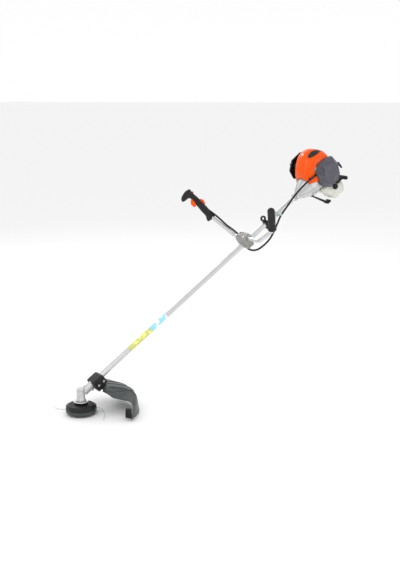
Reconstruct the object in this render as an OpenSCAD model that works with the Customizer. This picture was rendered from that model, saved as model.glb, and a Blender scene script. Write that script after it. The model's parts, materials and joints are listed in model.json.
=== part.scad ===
// String trimmer with a petrol engine, a split handlebar and a two-line head.
// The part stands in its working pose: +Z is the head's spin axis, +X runs from the
// head towards the engine, and the origin is the lowest point of the bump knob.
// Most pieces are drawn in the tube's own frame: x along the tube from the gear
// crossing, y to the operator's right, z square to the tube and upwards.

/* [Layout] */
// Tilt of the main tube above the ground, in degrees
tilt = 34.4; // [34:0.1:35]
// Height at which the tube's axis crosses the head's spin axis
axis_h = 95; // [95:0.5:96]
// Station of the handlebar clamp along the tube
clamp_s = 1110; // [1000:5:1120]
// Station of the harness ring along the tube
ring_s = 1255; // [1240:5:1300]

/* [Tube and drive] */
// Outside diameter of the main tube
tube_d = 26; // [25:0.5:26]
// Wall of the main tube
tube_wall = 1.5; // [1.2:0.1:2]
// Diameter of the solid drive shaft
shaft_d = 8; // [7:0.5:8]
// Number of bushes that carry the drive shaft
bush_count = 6; // [4:1:9]
// Radial running clearance of shafts and pivots
run_fit = 0.05; // [0.02:0.01:0.1]

/* [Bevel gears] */
// Teeth on the pinion
pinion_teeth = 15; // [13:1:17]
// Teeth on the driven gear
gear_teeth = 20; // [18:1:22]
// Tooth module at the large end
tooth_module = 1.4; // [1.2:0.05:1.45]

/* [Trimmer head] */
// Diameter of the head
head_d = 140; // [130:2:150]
// Upward travel of the bump knob
knob_travel = 6; // [4:1:6]
// Diameter of the nylon cutting line
line_d = 2.4; // [2:0.1:2.7]
// Bearing of the first line eyelet around the head, in degrees
eyelet_angle = -20; // [-40:5:0]

/* [Guard] */
// Radius of the guard's outer rim
guard_r = 262; // [240:2:270]
// Wall of the guard
guard_wall = 3; // [2.5:0.5:4]

/* [Handles] */
// Diameter of the handlebar
bar_d = 19; // [18:0.5:20]
// Diameter of the throttle cable's sleeve
cable_d = 9; // [6:0.5:9]

/* [Engine] */
// Cylinder bore
bore_d = 44; // [40:1:44]
// Piston stroke
stroke = 32; // [28:1:32]
// Radius of the clutch housing's flange
flange_r = 57; // [55:1:60]

/* [Hidden] */

tube_r = tube_d / 2;
shaft_r = shaft_d / 2;
tube_start = 60;
tube_end = 1490;
first_bush_s = 90;
head_r = head_d / 2;
seam_z = 26;
bar_r = bar_d / 2;
bar_n = 28;

// Bevel gear cones share one apex where the two axes cross.
shaft_angle = 90 - tilt;
pinion_cone = atan(sin(shaft_angle) / (gear_teeth / pinion_teeth + cos(shaft_angle)));
gear_cone = shaft_angle - pinion_cone;
cone_len = tooth_module * pinion_teeth / 2 / sin(pinion_cone);
face_width = 8;

// Engine stations along the tube axis.
collar_s = 1462;
flange_s = 1565;
fan_s = 1594;
cylinder_s = 1627;
case_end_s = 1668;
starter_s = 1722;
tank_neck = [1672, -80];
grip_rope = [-44, -80];
choke_pin = [1748, -58, 8];
crank_r = stroke / 2;

// Handlebar corners [along, across, up], from the right-hand end to the left-hand end.
bar_path = [[clamp_s, 240, bar_n + 129], [clamp_s, 77, bar_n], [clamp_s, -132, bar_n],
    [clamp_s, -309, bar_n + 96], [clamp_s + 22, -352, bar_n + 199]];
stock_start = [clamp_s, 205, 129];
stock_end = [clamp_s + 24, 356.5, 258];
grip_start = [clamp_s + 1, -311, 129];
grip_end = [clamp_s + 24, -359, 243];

// Throttle cable route in the tube's frame.
cable_path = [[1124, 222, 154], [1125, 198, 140], [1125, 165, 112], [1122, 125, 78],
    [1126, 90, 44], [1127, 72, 20], [1120, 52, -6], [1112, 32, -31], [1102, 6, -36],
    [1098, -18, -37], [1099, -40, -38], [1108, -55, -40], [1124, -63, -43], [1166, -62, -47],
    [1208, -60, -43], [1250, -54, -30], [1290, -46, -16],
    [1331, -38, -2], [1390, -40, 14], [1447, -46, 32], [1500, -58, 46], [1540, -66, 52],
    [1575, -69, 51], [1590, -68, 50], [1603, -66, 48]];

// Cutting line routes in the part's frame.
line_path_a = [[61, -22, 26], [66, -24, 26], [76, -33, 26], [80, -52, 24], [77, -76, 20],
    [70, -97, 16], [58, -119, 10], [43, -140, 5]];
line_path_b = [[-61, 22, 26], [-66, 24, 26], [-77, 31, 26], [-88, 42, 26], [-97, 55, 27],
    [-103, 68, 29]];

// ---- Frames and shapes ----

module on_tube() {
    translate([0, 0, axis_h]) rotate([0, -tilt, 0]) children();
}

// Cylinders along x and y of the current frame, from one station to another.
module rod_x(radius, from, to) {
    translate([from, 0, 0]) rotate([0, 90, 0]) cylinder(r = radius, h = to - from, $fn = 64);
}

module rod_y(radius, from, to) {
    translate([0, from, 0]) rotate([-90, 0, 0]) cylinder(r = radius, h = to - from, $fn = 48);
}

module rod_z(radius, from, to) {
    translate([0, 0, from]) cylinder(r = radius, h = to - from, $fn = 64);
}

module tube_x(outer, inner, from, to) {
    difference() {
        rod_x(outer, from, to);
        rod_x(inner, from - 1, to + 1);
    }
}

module tube_z(outer, inner, from, to) {
    difference() {
        rod_z(outer, from, to);
        rod_z(inner, from - 1, to + 1);
    }
}

// Turned shape: outline points are [radius, station along the axis].
module turned_x(outline) {
    rotate([0, 90, 0]) rotate_extrude($fn = 96) polygon(outline);
}

module turned_z(outline) {
    rotate_extrude($fn = 96) polygon(outline);
}

function unit(v) = v / norm(v);

// Places children so that their z axis runs from one point towards another.
module aim(from, to) {
    d = to - from;
    translate(from) rotate([0, acos(d[2] / norm(d)), atan2(d[1], d[0])]) children();
}

// Chain of straight rods with ball corners, for bent bars.
module bent_rod(path, radius) {
    for (i = [0 : len(path) - 2]) {
        aim(path[i], path[i + 1])
            cylinder(r = radius, h = norm(path[i + 1] - path[i]), $fn = 48);
    }
    for (i = [1 : len(path) - 2]) translate(path[i]) sphere(r = radius, $fn = 48);
}

// Solid of constant round section swept along a smooth curve through a list of points.
function spline_point(p, i, t) =
    let (a = p[max(i - 1, 0)], b = p[i], c = p[i + 1], d = p[min(i + 2, len(p) - 1)])
    0.5 * (2 * b + (c - a) * t + (2 * a - 5 * b + 4 * c - d) * t * t
        + (3 * b - a - 3 * c + d) * t * t * t);

function smooth_path(p, steps) = [
    for (i = [0 : len(p) - 2]) for (k = [0 : steps - 1]) spline_point(p, i, k / steps),
    p[len(p) - 1]];

function heading(p, i) = unit(p[min(i + 1, len(p) - 1)] - p[max(i - 1, 0)]);

// Each ring's side vector is the last one made square to the new heading.
function side_vectors(p, i = 0, last = [0, 0, 1], done = []) =
    i == len(p) ? done
    : let (h = heading(p, i), s = unit(last - (last * h) * h))
        side_vectors(p, i + 1, s, concat(done, [s]));

module sweep_round(path, radius, sides = 8) {
    count = len(path);
    side = side_vectors(path, last = unit([0.31, 0.47, 0.83]));
    points = [for (i = [0 : count - 1]) for (k = [0 : sides - 1])
        let (h = heading(path, i), u = side[i], v = cross(h, u), a = 360 * k / sides)
        path[i] + radius * (cos(a) * u + sin(a) * v)];
    walls = [for (i = [0 : count - 2]) for (k = [0 : sides - 1])
        let (n = (k + 1) % sides)
        [i * sides + k, (i + 1) * sides + k, (i + 1) * sides + n, i * sides + n]];
    caps = [[for (k = [0 : sides - 1]) k],
        [for (k = [sides - 1 : -1 : 0]) (count - 1) * sides + k]];
    polyhedron(points = points, faces = concat(walls, caps), convexity = 6);
}

// ---- Main tube and drive ----

module main_tube() {
    color("silver") on_tube() tube_x(tube_r, tube_r - tube_wall, tube_start, tube_end);
}

module shaft_bushes() {
    gap = (tube_end - first_bush_s - 60) / (bush_count - 1);
    color("dimgray") on_tube() for (i = [0 : bush_count - 1]) {
        s = first_bush_s + gap * i;
        tube_x(tube_r - tube_wall, shaft_r + run_fit, s, s + 16);
    }
}

module drive_shaft() {
    color("lightgray") on_tube() rod_x(shaft_r, 17.5, 1532);
}

// ---- Gear case ----

module gear_case() {
    column_r = 19;
    arm_r = 16.5;
    color("gainsboro") difference() {
        union() {
            rod_z(column_r, 66, 119);
            rod_z(24, 66, 70);
            on_tube() rod_x(arm_r, 0, 88);
            on_tube() translate([46, -8, -24]) cube([16, 16, 12]);
        }
        rod_z(15, 60, 88);
        rod_z(16.4, 88, 125);
        rod_z(19.3, 119, 130);
        on_tube() rod_x(12.6, 0, 34);
        on_tube() rod_x(tube_r, 33, 100);
        on_tube() translate([54, 0, -20.5]) rod_y(2.5, -20, 20);
    }
}

module gear_case_cap() {
    color("silver") difference() {
        union() {
            rod_z(19, 119, 122);
            rod_z(13, 122, 124);
        }
        rod_z(4, 121, 126);
    }
}

module bearings() {
    color("lightslategray") {
        tube_z(15, 5 + run_fit, 68, 76);
        tube_z(15, 5 + run_fit, 79, 87);
        on_tube() tube_x(tube_r, shaft_r + run_fit, 36, 46);
        on_tube() tube_x(14, shaft_r + run_fit, 1494, 1505);
    }
}

// Straight-toothed cone whose tooth lines meet at the origin, drawn along +z.
module bevel_teeth(teeth, cone) {
    far = cone_len * cos(cone);
    near = (cone_len - face_width) * cos(cone);
    pitch = cone_len * sin(cone);
    root = pitch - 1.05 * tooth_module;
    tip = pitch + 0.6 * tooth_module;
    step = 360 / teeth;
    outline = [for (i = [0 : teeth - 1]) for (c = [[-0.30, root], [-0.11, tip], [0.11, tip],
        [0.30, root]]) c[1] * [cos(step * (i + c[0])), sin(step * (i + c[0]))]];
    translate([0, 0, far]) mirror([0, 0, 1])
        linear_extrude(height = far - near, scale = near / far) polygon(outline);
}

module bevel_pinion() {
    color("dimgray") on_tube() difference() {
        union() {
            rotate([0, 90, 0]) bevel_teeth(pinion_teeth, pinion_cone);
            rod_x(7, cone_len * cos(pinion_cone) - 0.5, 34);
        }
        rod_x(shaft_r, 10, 40);
    }
}

module bevel_gear() {
    color("dimgray") difference() {
        translate([0, 0, axis_h]) {
            bevel_teeth(gear_teeth, gear_cone);
            rod_z(9, cone_len * cos(gear_cone) - 0.5, 23.4);
        }
        rod_z(5, 90, 125);
    }
}

module output_shaft() {
    color("lightgray") rod_z(5, 22, 118);
}

module blade_flange() {
    color("silver") turned_z([[5, 60], [33, 60], [35, 61], [35, 63], [33, 64.5], [16, 64.5],
        [12, 65], [12, 67.4], [5, 67.4]]);
}

module drive_adapter() {
    notches = 12;
    color("black") difference() {
        rod_z(31, 52, 60);
        rod_z(5, 50, 62);
        for (i = [0 : notches - 1]) rotate(i * 360 / notches)
            translate([32.5, 0, 0]) rod_z(3.5, 53, 62);
    }
}

// ---- Trimmer head ----

module eyelet_bores(radius) {
    for (turn = [0, 180]) rotate(eyelet_angle + turn) translate([0, 0, seam_z])
        rod_x(radius, head_r - 12, head_r + 8);
}

module head_housing() {
    color([0.12, 0.12, 0.12]) difference() {
        turned_z([[5, 52], [32, 52], [37, 51], [head_r - 9, 47.5], [head_r - 1, 42],
            [head_r, 38], [head_r, seam_z + 0.2], [head_r - 4, seam_z + 0.2],
            [head_r - 4, 38], [head_r - 10, 43.2], [32, 46.8], [5, 46.8]]);
        eyelet_bores(4.5);
    }
}

module head_cover() {
    color([0.2, 0.21, 0.21]) difference() {
        turned_z([[27, 4], [head_r - 16, 4], [head_r - 5, 7], [head_r, 13],
            [head_r, seam_z], [head_r - 4, seam_z], [head_r - 4, 15],
            [head_r - 8, 10.5], [head_r - 17, 8], [27, 7.6]]);
        eyelet_bores(4.5);
    }
}

module spool() {
    color("gray") turned_z([[8, 11], [54, 11], [54, 13], [22, 13], [22, 33], [54, 33],
        [54, 35], [8, 35]]);
    color("honeydew") turned_z([[22.1, 13.2], [49, 13.2], [51, 15], [51, 31], [49, 32.8],
        [22.1, 32.8]]);
}

module bump_knob() {
    color("black") turned_z([[0, 0], [17, 0], [23, 2], [25.5, 6], [25.5, 10.8], [0, 10.8]]);
}

module bump_spring() {
    turns = 3;
    steps = 12;
    coil = [for (i = [0 : turns * steps]) let (a = 360 * i / steps)
        [14 * cos(a), 14 * sin(a), 36.2 + (9.4 * i) / (turns * steps)]];
    color("silver") sweep_round(coil, 0.8);
}

module line_eyelets() {
    color("silver") difference() {
        eyelets_outside = head_r + 1.6;
        for (turn = [0, 180]) rotate(eyelet_angle + turn) translate([0, 0, seam_z]) {
            rod_x(4.5, head_r - 5, eyelets_outside - 1);
            rod_x(5.6, head_r + 0.4, eyelets_outside);
        }
        eyelet_bores(1.8);
    }
}

module cutting_line_a() {
    color("honeydew") sweep_round(smooth_path(line_path_a, 4), line_d / 2);
}

module cutting_line_b() {
    color("honeydew") sweep_round(smooth_path(line_path_b, 4), line_d / 2);
}

// ---- Guard ----

module guard_shield() {
    w = guard_wall;
    color([0.27, 0.28, 0.28]) difference() {
        intersection() {
            rotate([0, 0, -66]) rotate_extrude(angle = 110, $fn = 128) polygon([
                [100, 116], [150, 116], [205, 108], [240, 96], [guard_r - 6, 80],
                [guard_r, 60], [guard_r + 4, 14], [guard_r + 4 - w, 14],
                [guard_r - w, 60], [guard_r - 6 - w, 78], [238, 96 - w], [204, 108 - w],
                [150, 116 - w], [100, 116 - w]]);
            linear_extrude(height = 140) polygon([[96, 36], [96, -36], [118, -70],
                [138, -130], [146, -228], [300, -228], [300, 100], [235, 108],
                [160, 112], [84, 108]]);
        }
        translate([0, 0, -20]) rotate(-50) translate([0, -200, 0]) cube([400, 80, 76]);
    }
}

module guard_bracket() {
    color([0.15, 0.15, 0.15]) difference() {
        on_tube() union() {
            hull() {
                translate([66, -32, -34]) cube([62, 64, 30]);
                translate([70, -16, 12]) cube([52, 32, 8]);
            }
            translate([70, -26, -46]) cube([48, 52, 14]);
        }
        on_tube() rod_x(tube_r, 87.9, 140);
        on_tube() rod_x(16.5, 60, 88);
        on_tube() for (s = [84, 114]) translate([s, 0, -12]) {
            rod_y(3, -40, -19);
            rod_y(3, 19, 40);
        }
        translate([60, -60, 60]) cube([90, 120, 57.2]);
    }
}

module knife_holder() {
    color([0.08, 0.08, 0.08]) rotate(-55) {
        translate([guard_r - 34, -3, 12]) cube([26, 18, 44]);
        translate([guard_r - 12, -3, 14]) cube([8.5, 5, 44]);
    }
}

module line_knife() {
    color("silver") rotate(-55) difference() {
        translate([guard_r - 44, 15, 16]) cube([32, 2, 30]);
        translate([guard_r - 18, 0, 30]) rod_y(2.5, 12, 20);
    }
}

// ---- Fasteners ----

module socket_screw(radius, from, to) {
    rod_y(radius, from + 4, to);
    difference() {
        rod_y(radius * 1.75, from, from + 4.2);
        translate([0, from - 1, 0]) rotate([-90, 0, 0]) cylinder(r = radius * 0.9, h = 3.5, $fn = 6);
    }
}

module bolts() {
    color("darkgray") {
        on_tube() for (s = [84, 114]) for (turn = [0, 180]) rotate([turn, 0, 0])
            translate([s, 0, turn > 0 ? 12 : -12]) socket_screw(2.9, -36.2, -20);
        on_tube() translate([54, 0, -20.5]) socket_screw(2.4, -12.2, 8);
        on_tube() for (ds = [-14, 14]) for (w = [-30, 30])
            translate([clamp_s + ds, w, 0]) rotate([-90, 0, 0]) socket_screw(2.9, -bar_n - 22.2, 12);
        on_tube() translate([ring_s, 0, -23]) socket_screw(2.4, -11.2, 7);
        on_tube() for (a = [45 : 90 : 315]) rotate([a, 0, 0]) translate([1552, 0, flange_r + 1])
            rotate([0, 0, -90]) socket_screw(2.4, -4.2, 24);
        on_tube() for (w = [-36, 36]) for (n = [-34, 34])
            translate([starter_s, w, n]) rotate([0, 0, 90]) socket_screw(2.4, -4.2, 8);
    }
}

// ---- Handlebar and its clamp ----

// Rounds each corner of a path over the reach given for it.
function bent_path(p, reach) = [
    p[0],
    for (i = [1 : len(p) - 2]) for (t = [0 : 0.25 : 1])
        (1 - t) * (1 - t) * (p[i] + reach[i - 1] * unit(p[i - 1] - p[i])) + 2 * t * (1 - t) * p[i]
            + t * t * (p[i] + reach[i - 1] * unit(p[i + 1] - p[i])),
    p[len(p) - 1]
];

module handlebar() {
    bend_reach = [22, 22, 0.4];
    color("silver") on_tube() sweep_round(bent_path(bar_path, bend_reach), bar_r, 32);
}

module clamp_holes() {
    rod_x(tube_r, clamp_s - 60, clamp_s + 60);
    translate([clamp_s, 0, bar_n]) rod_y(bar_r, -100, 100);
    for (ds = [-14, 14]) for (w = [-30, 30])
        translate([clamp_s + ds, w, -60]) cylinder(r = 3, h = 140, $fn = 32);
}

module clamp_base() {
    color("darkgray") on_tube() difference() {
        hull() {
            translate([clamp_s - 24, -40, 4]) cube([48, 80, bar_n - 4.2]);
            translate([clamp_s - 20, -30, -24]) cube([40, 60, 8]);
        }
        clamp_holes();
    }
}

module clamp_cap() {
    color("darkgray") on_tube() difference() {
        hull() {
            translate([clamp_s - 24, -40, bar_n + 0.2]) cube([48, 80, 8]);
            translate([clamp_s - 17, -32, bar_n + 10]) cube([34, 64, 8]);
        }
        clamp_holes();
    }
}

module left_grip() {
    len_grip = norm(grip_end - grip_start);
    color([0.1, 0.1, 0.1]) on_tube() difference() {
        aim(grip_start, grip_end) rotate_extrude($fn = 64) polygon([[0, 0], [19, 0], [21, 4],
            [18, 12], [16, 24], [17.5, 60], [16.5, len_grip - 14], [12, len_grip - 3],
            [6, len_grip], [0, len_grip]]);
        bent_rod(bar_path, bar_r + 0.02);
    }
}

// ---- Throttle handle ----
// Its own frame: z out along the handle, x forwards to the fingers, y across.

stock_axis = unit(stock_end - stock_start);
stock_len = norm(stock_end - stock_start);
stock_front = unit([-1, 0, 0] + stock_axis[0] * stock_axis);
stock_side = cross(stock_axis, stock_front);
trigger_pin = [11, 0, 142];
lockout_pin = [-13, 0, 74];

module on_stock() {
    x = stock_front;
    y = stock_side;
    z = stock_axis;
    on_tube() multmatrix([[x[0], y[0], z[0], stock_start[0]], [x[1], y[1], z[1], stock_start[1]],
        [x[2], y[2], z[2], stock_start[2]], [0, 0, 0, 1]]) children();
}

module stock_body() {
    hull() {
        translate([0, 0, 8]) sphere(r = 18, $fn = 32);
        translate([0, 0, 60]) sphere(r = 18.5, $fn = 32);
        translate([-2, 0, 128]) sphere(r = 16, $fn = 32);
    }
    hull() {
        translate([-2, 0, 128]) sphere(r = 16, $fn = 32);
        translate([2, 0, stock_len - 14]) rotate([90, 0, 0])
            cylinder(r = 12, h = 30, center = true, $fn = 32);
    }
    hull() {
        translate([-16, -14, stock_len - 14]) cube([10, 28, 12]);
        translate([30, -11, stock_len - 22]) cube([12, 22, 10]);
        translate([24, -11, stock_len - 14]) cube([14, 22, 12]);
    }
    hull() {
        translate([6, -13, -8]) cube([8, 26, 18]);
        translate([22, -9, -10]) cube([8, 18, 8]);
    }
}

module stock_voids() {
    trigger_half = 5.4;
    lockout_half = 5.4;
    translate([-4, -trigger_half, 92]) cube([36, trigger_half * 2, 58]);
    translate([-34, -lockout_half, 64]) cube([30.1, lockout_half * 2, 58]);
    translate([-34, -4.4, stock_len - 32]) cube([26, 8.8, 14]);
}

module stock_bar_bore() {
    on_tube() bent_rod(bar_path, bar_r + 0.02);
}

module throttle_case(keep_side) {
    difference() {
        on_stock() difference() {
            intersection() {
                stock_body();
                translate([-60, keep_side > 0 ? 0.05 : -60.05, -60]) cube([120, 60, 320]);
            }
            stock_voids();
        }
        stock_bar_bore();
    }
}

module throttle_case_left() {
    color([0.13, 0.13, 0.13]) throttle_case(-1);
}

module throttle_case_right() {
    color([0.13, 0.13, 0.13]) throttle_case(1);
    color([0.13, 0.13, 0.13]) on_stock() {
        translate(trigger_pin) rod_y(2, -5.4, 5.4);
        translate(lockout_pin) rod_y(2, -5.4, 5.4);
    }
}

module trigger() {
    color("orangered") on_stock() difference() {
        union() {
            translate(trigger_pin) rod_y(5, -4.9, 4.9);
            hull() {
                translate(trigger_pin) rod_y(4, -4.9, 4.9);
                translate([26, 0, 124]) rod_y(4, -4.9, 4.9);
            }
            hull() {
                translate([26, 0, 124]) rod_y(4, -4.9, 4.9);
                translate([27, 0, 104]) rod_y(3, -4.9, 4.9);
            }
        }
        translate(trigger_pin) rod_y(2 + run_fit, -8, 8);
    }
}

module lockout_lever() {
    color("orangered") on_stock() difference() {
        union() {
            translate(lockout_pin) rod_y(4.4, -4.9, 4.9);
            hull() {
                translate(lockout_pin) rod_y(4, -4.9, 4.9);
                translate([-23, 0, 96]) rod_y(4, -4.9, 4.9);
            }
            hull() {
                translate([-23, 0, 96]) rod_y(4, -4.9, 4.9);
                translate([-18, 0, 114]) rod_y(3, -4.9, 4.9);
            }
        }
        translate(lockout_pin) rod_y(2 + run_fit, -8, 8);
    }
}

module stop_switch() {
    color("firebrick") on_stock() translate([-19, -4, stock_len - 31]) union() {
        cube([8, 8, 7]);
        translate([-2, 0, 2]) cube([3, 8, 3]);
    }
}

module throttle_cable() {
    color("black") on_tube() sweep_round(smooth_path(cable_path, 3), cable_d / 2, 8);
}

module harness_ring() {
    color("black") on_tube() difference() {
        union() {
            rod_x(tube_r + 5, ring_s - 10, ring_s + 10);
            translate([ring_s, 0, tube_r + 19]) rod_y(15, -5, 5);
            translate([ring_s - 10, -7, -29]) cube([20, 14, 16]);
        }
        rod_x(tube_r, ring_s - 20, ring_s + 20);
        translate([ring_s, 0, tube_r + 19]) rod_y(7.5, -8, 8);
        translate([ring_s - 14, -1, -40]) cube([28, 2, 27.5]);
        translate([ring_s, 0, -23]) rod_y(2.5, -12, 12);
    }
}

// ---- Engine ----

// Four bolt lugs around the joint between the clutch housing and the crankcase.
module flange_lugs(from, to) {
    for (a = [45 : 90 : 315]) rotate([a, 0, 0]) translate([from, -6, 50])
        cube([to - from, 12, flange_r - 43]);
}

module flange_bores() {
    for (a = [45 : 90 : 315]) rotate([a, 0, 0]) translate([0, 0, flange_r + 1])
        rod_x(2.5, 1540, 1590);
}

module clutch_housing() {
    color("gainsboro") on_tube() difference() {
        union() {
            turned_x([[0, collar_s], [19, collar_s], [20, collar_s + 2], [20, collar_s + 17],
                [18, collar_s + 19], [19, 1490], [28, 1500], [46, 1535],
                [flange_r - 4, flange_s - 8], [flange_r, flange_s - 6], [flange_r, flange_s],
                [0, flange_s]]);
            flange_lugs(1552, flange_s);
        }
        rod_x(tube_r, collar_s - 2, 1490);
        rod_x(14, 1489, 1506);
        rod_x(8, 1505, 1512);
        turned_x([[0, 1509], [20, 1512], [43, 1534], [49, flange_s + 1], [0, flange_s + 1]]);
        flange_bores();
    }
}

module clutch_drum() {
    color("slategray") on_tube() turned_x([[shaft_r, 1506.5], [7.5, 1506.5], [7.5, 1530],
        [20, 1530], [39, 1538], [39, 1560], [36, 1560], [36, 1540], [18, 1533],
        [shaft_r, 1533]]);
}

module clutch_shoes() {
    gap = 1.2;
    color("sienna") on_tube() difference() {
        tube_x(35, 9, 1541, 1558);
        for (a = [0 : 120 : 240]) rotate([a, 0, 0]) translate([1538, -gap, 12]) cube([30, 2 * gap, 30]);
        for (a = [60 : 120 : 300]) rotate([a, 0, 0]) translate([1538, 0, 26]) rod_x(3, 0, 40);
    }
}

module crankcase() {
    color("gainsboro") on_tube() difference() {
        union() {
            rod_x(flange_r, flange_s, fan_s);
            flange_lugs(flange_s, 1578);
            translate([1640, 0, -38]) rod_y(9.5, -46, -39);
            translate([fan_s - 4, -40, -46]) cube([case_end_s - fan_s + 4, 80, 84]);
        }
        rod_x(52, flange_s - 1, fan_s - 4);
        rod_x(8 + run_fit, fan_s - 10, case_end_s + 1);
        rod_x(32, 1603, 1651);
        translate([cylinder_s, 0, 0]) rod_z(bore_d / 2, 0, 60);
        translate([1640, 0, -38]) rod_y(7.3, -50, -40);
        flange_bores();
    }
}

module crankshaft() {
    web_r = 30;
    color("lightgray") on_tube() {
        rod_x(8, 1541, 1614);
        rod_x(8, 1640, 1712);
        rod_x(9, 1541, 1558);
        translate([0, 0, crank_r]) rod_x(5, 1612, 1642);
        for (s = [1606, 1640]) difference() {
            rod_x(web_r, s, s + 8);
            translate([s - 1, -40, 26]) cube([10, 80, 20]);
            for (w = [-1, 1]) translate([s - 1, w * 26 - 10, 6]) cube([10, 20, 40]);
        }
    }
}

module flywheel() {
    blades = 14;
    color("silver") on_tube() {
        tube_x(50, 8, 1568, 1574);
        tube_x(16, 8, 1574, 1586);
        for (i = [0 : blades - 1]) rotate([i * 360 / blades, 0, 0])
            translate([1573.5, 22, -1.5]) cube([13, 26, 3]);
    }
}

module conrod() {
    small_n = crank_r + 56;
    color("lightgray") on_tube() difference() {
        union() {
            translate([cylinder_s - 4, -5, crank_r + 5]) cube([8, 10, 48]);
            translate([0, 0, small_n]) rod_x(7, cylinder_s - 4, cylinder_s + 4);
        }
        translate([0, 0, small_n]) rod_x(4, cylinder_s - 8, cylinder_s + 8);
        rod_x(crank_r + 6, cylinder_s - 8, cylinder_s + 8);
    }
}

module piston() {
    crown = 97;
    pin_n = crank_r + 56;
    color("lightgray") on_tube() {
        difference() {
            translate([cylinder_s, 0, 0]) rod_z(bore_d / 2 - 0.1, 58, crown);
            translate([cylinder_s, 0, 0]) rod_z(bore_d / 2 - 4, 50, crown - 5);
            translate([0, 0, pin_n]) rod_x(4, cylinder_s - 40, cylinder_s + 40);
        }
        translate([0, 0, pin_n]) rod_x(4, cylinder_s - bore_d / 2 + 2, cylinder_s + bore_d / 2 - 2);
    }
}

module cylinder_fins(count, pitch) {
    for (i = [0 : count - 1]) translate([cylinder_s - 32, -40, 44 + i * pitch]) cube([72, 80, 2]);
}

module engine_cylinder() {
    color("silver") on_tube() difference() {
        union() {
            translate([cylinder_s - 32, -34, 38]) cube([66, 68, 5]);
            translate([cylinder_s, 0, 0]) rod_z(bore_d / 2 + 5, 38, 108);
            cylinder_fins(10, 7);
            translate([cylinder_s - 16, -44, 56]) cube([32, 20, 26]);
            translate([cylinder_s - 18, 24, 54]) cube([36, 20, 28]);
        }
        translate([cylinder_s, 0, 0]) rod_z(bore_d / 2, 30, 100);
        translate([cylinder_s, 0, 68]) rod_y(8, -50, 0);
        translate([cylinder_s, 0, 68]) rod_y(9, 0, 50);
        translate([cylinder_s, 0, 0]) rod_z(5, 90, 120);
    }
}

module spark_plug() {
    color("whitesmoke") on_tube() translate([cylinder_s, 0, 0]) {
        rod_z(5, 99, 110);
        difference() {
            rod_z(10, 110, 117);
            for (a = [0 : 60 : 300]) rotate(a) translate([9, -10, 109]) cube([4, 20, 9]);
        }
        rod_z(5.5, 117, 134);
    }
    color("black") on_tube() {
        translate([cylinder_s, 0, 0]) tube_z(9, 5.5, 122, 145);
        translate([cylinder_s, 0, 145]) sphere(r = 9, $fn = 32);
    }
    color("dimgray") on_tube() translate([1568, -14, 62]) cube([16, 28, 24]);
}

module muffler() {
    color("dimgray") on_tube() {
        difference() {
            translate([1592, 45, 44]) cube([74, 24, 60]);
            translate([1594, 47, 46]) cube([70, 20, 56]);
            translate([1604, 60, 60]) rod_y(7, 0, 12);
        }
        translate([1604, 69, 60]) tube_y(8, 6.5, 0, 10);
    }
}

module tube_y(outer, inner, from, to) {
    difference() {
        rod_y(outer, from, to);
        rod_y(inner, from - 1, to + 1);
    }
}

module muffler_cover() {
    color([0.12, 0.12, 0.12]) on_tube() difference() {
        hull() {
            translate([1554, 71, 34]) cube([120, 3, 96]);
            translate([1572, 84, 44]) cube([84, 6, 72]);
        }
        hull() {
            translate([1558, 66, 38]) cube([112, 6, 88]);
            translate([1575, 80, 47]) cube([78, 5, 66]);
        }
        for (i = [0 : 4]) translate([1582 + i * 14, 70, 56]) cube([7, 40, 32]);
        translate([1604, 60, 60]) rod_y(9, 0, 40);
    }
}

module carburettor() {
    color("silver") on_tube() difference() {
        union() {
            translate([cylinder_s - 14, -64, 52]) cube([32, 14, 26.5]);
            translate([cylinder_s, 0, 68]) rod_y(12, -52, -44.2);
            translate([cylinder_s - 8, -60, 42]) cube([20, 8, 12]);
        }
        translate([cylinder_s, 0, 68]) rod_y(8, -70, -40);
        translate([cylinder_s + 22, -57, 68]) rod_x(2, -50, 10);
    }
}

module throttle_lever() {
    color("gold") on_tube() {
        translate([cylinder_s - 20, -57, 68]) difference() {
            rod_x(2 - run_fit, 0, 30);
            translate([16, -3, -8]) cube([20, 6, 7.2]);
        }
        translate([cylinder_s - 20, -57, 68]) difference() {
            hull() {
                rod_x(5, 0, 2.4);
                translate([0, -2, -13]) rod_x(3, 0, 2.4);
            }
            translate([0, -2, -13]) rod_x(1.2, -1, 4);
        }
    }
}

module choke_lever() {
    color("black") on_tube() {
        translate(choke_pin) difference() {
            union() {
                rod_y(8, -9, 0);
                hull() {
                    rod_y(6, -9, -3);
                    translate([6, 0, -30]) rod_y(4, -9, -3);
                }
            }
            rod_y(3 + run_fit, -12, 2);
        }
    }
}

module primer_bulb() {
    color("whitesmoke") on_tube() translate([1640, 0, -38]) {
        rod_y(7, -46, -44.4);
        translate([0, -45.9, 0]) difference() {
            sphere(r = 6.4, $fn = 32);
            translate([-10, 0.4, -10]) cube([20, 20, 20]);
        }
    }
}

module air_filter() {
    color("khaki") on_tube() difference() {
        translate([1636, -86, -18]) cube([60, 18, 58]);
        translate([1650, 0, 22]) rod_y(8, -74, -60);
    }
}

// Outlines of the filter cover [along, up]: its open back and its outer face.
cover_back = [[1604, 56], [1601, 3], [1616, -40], [1640, -58], [1694, -54], [1726, -32],
    [1742, 23], [1730, 72], [1644, 86], [1610, 84]];
cover_face = [[1616, 42], [1610, 3], [1626, -32], [1644, -48], [1688, -46], [1712, -26],
    [1728, 21], [1710, 54], [1634, 56]];
cover_centre = [1672, 14];

// A layer of the cover, square to y, drawn at a fraction of its full outline.
module cover_layer(outline, fraction, from, to) {
    translate([0, to, 0]) rotate([90, 0, 0]) linear_extrude(height = to - from)
        polygon([for (p = outline) cover_centre + fraction * (p - cover_centre)]);
}

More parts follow.
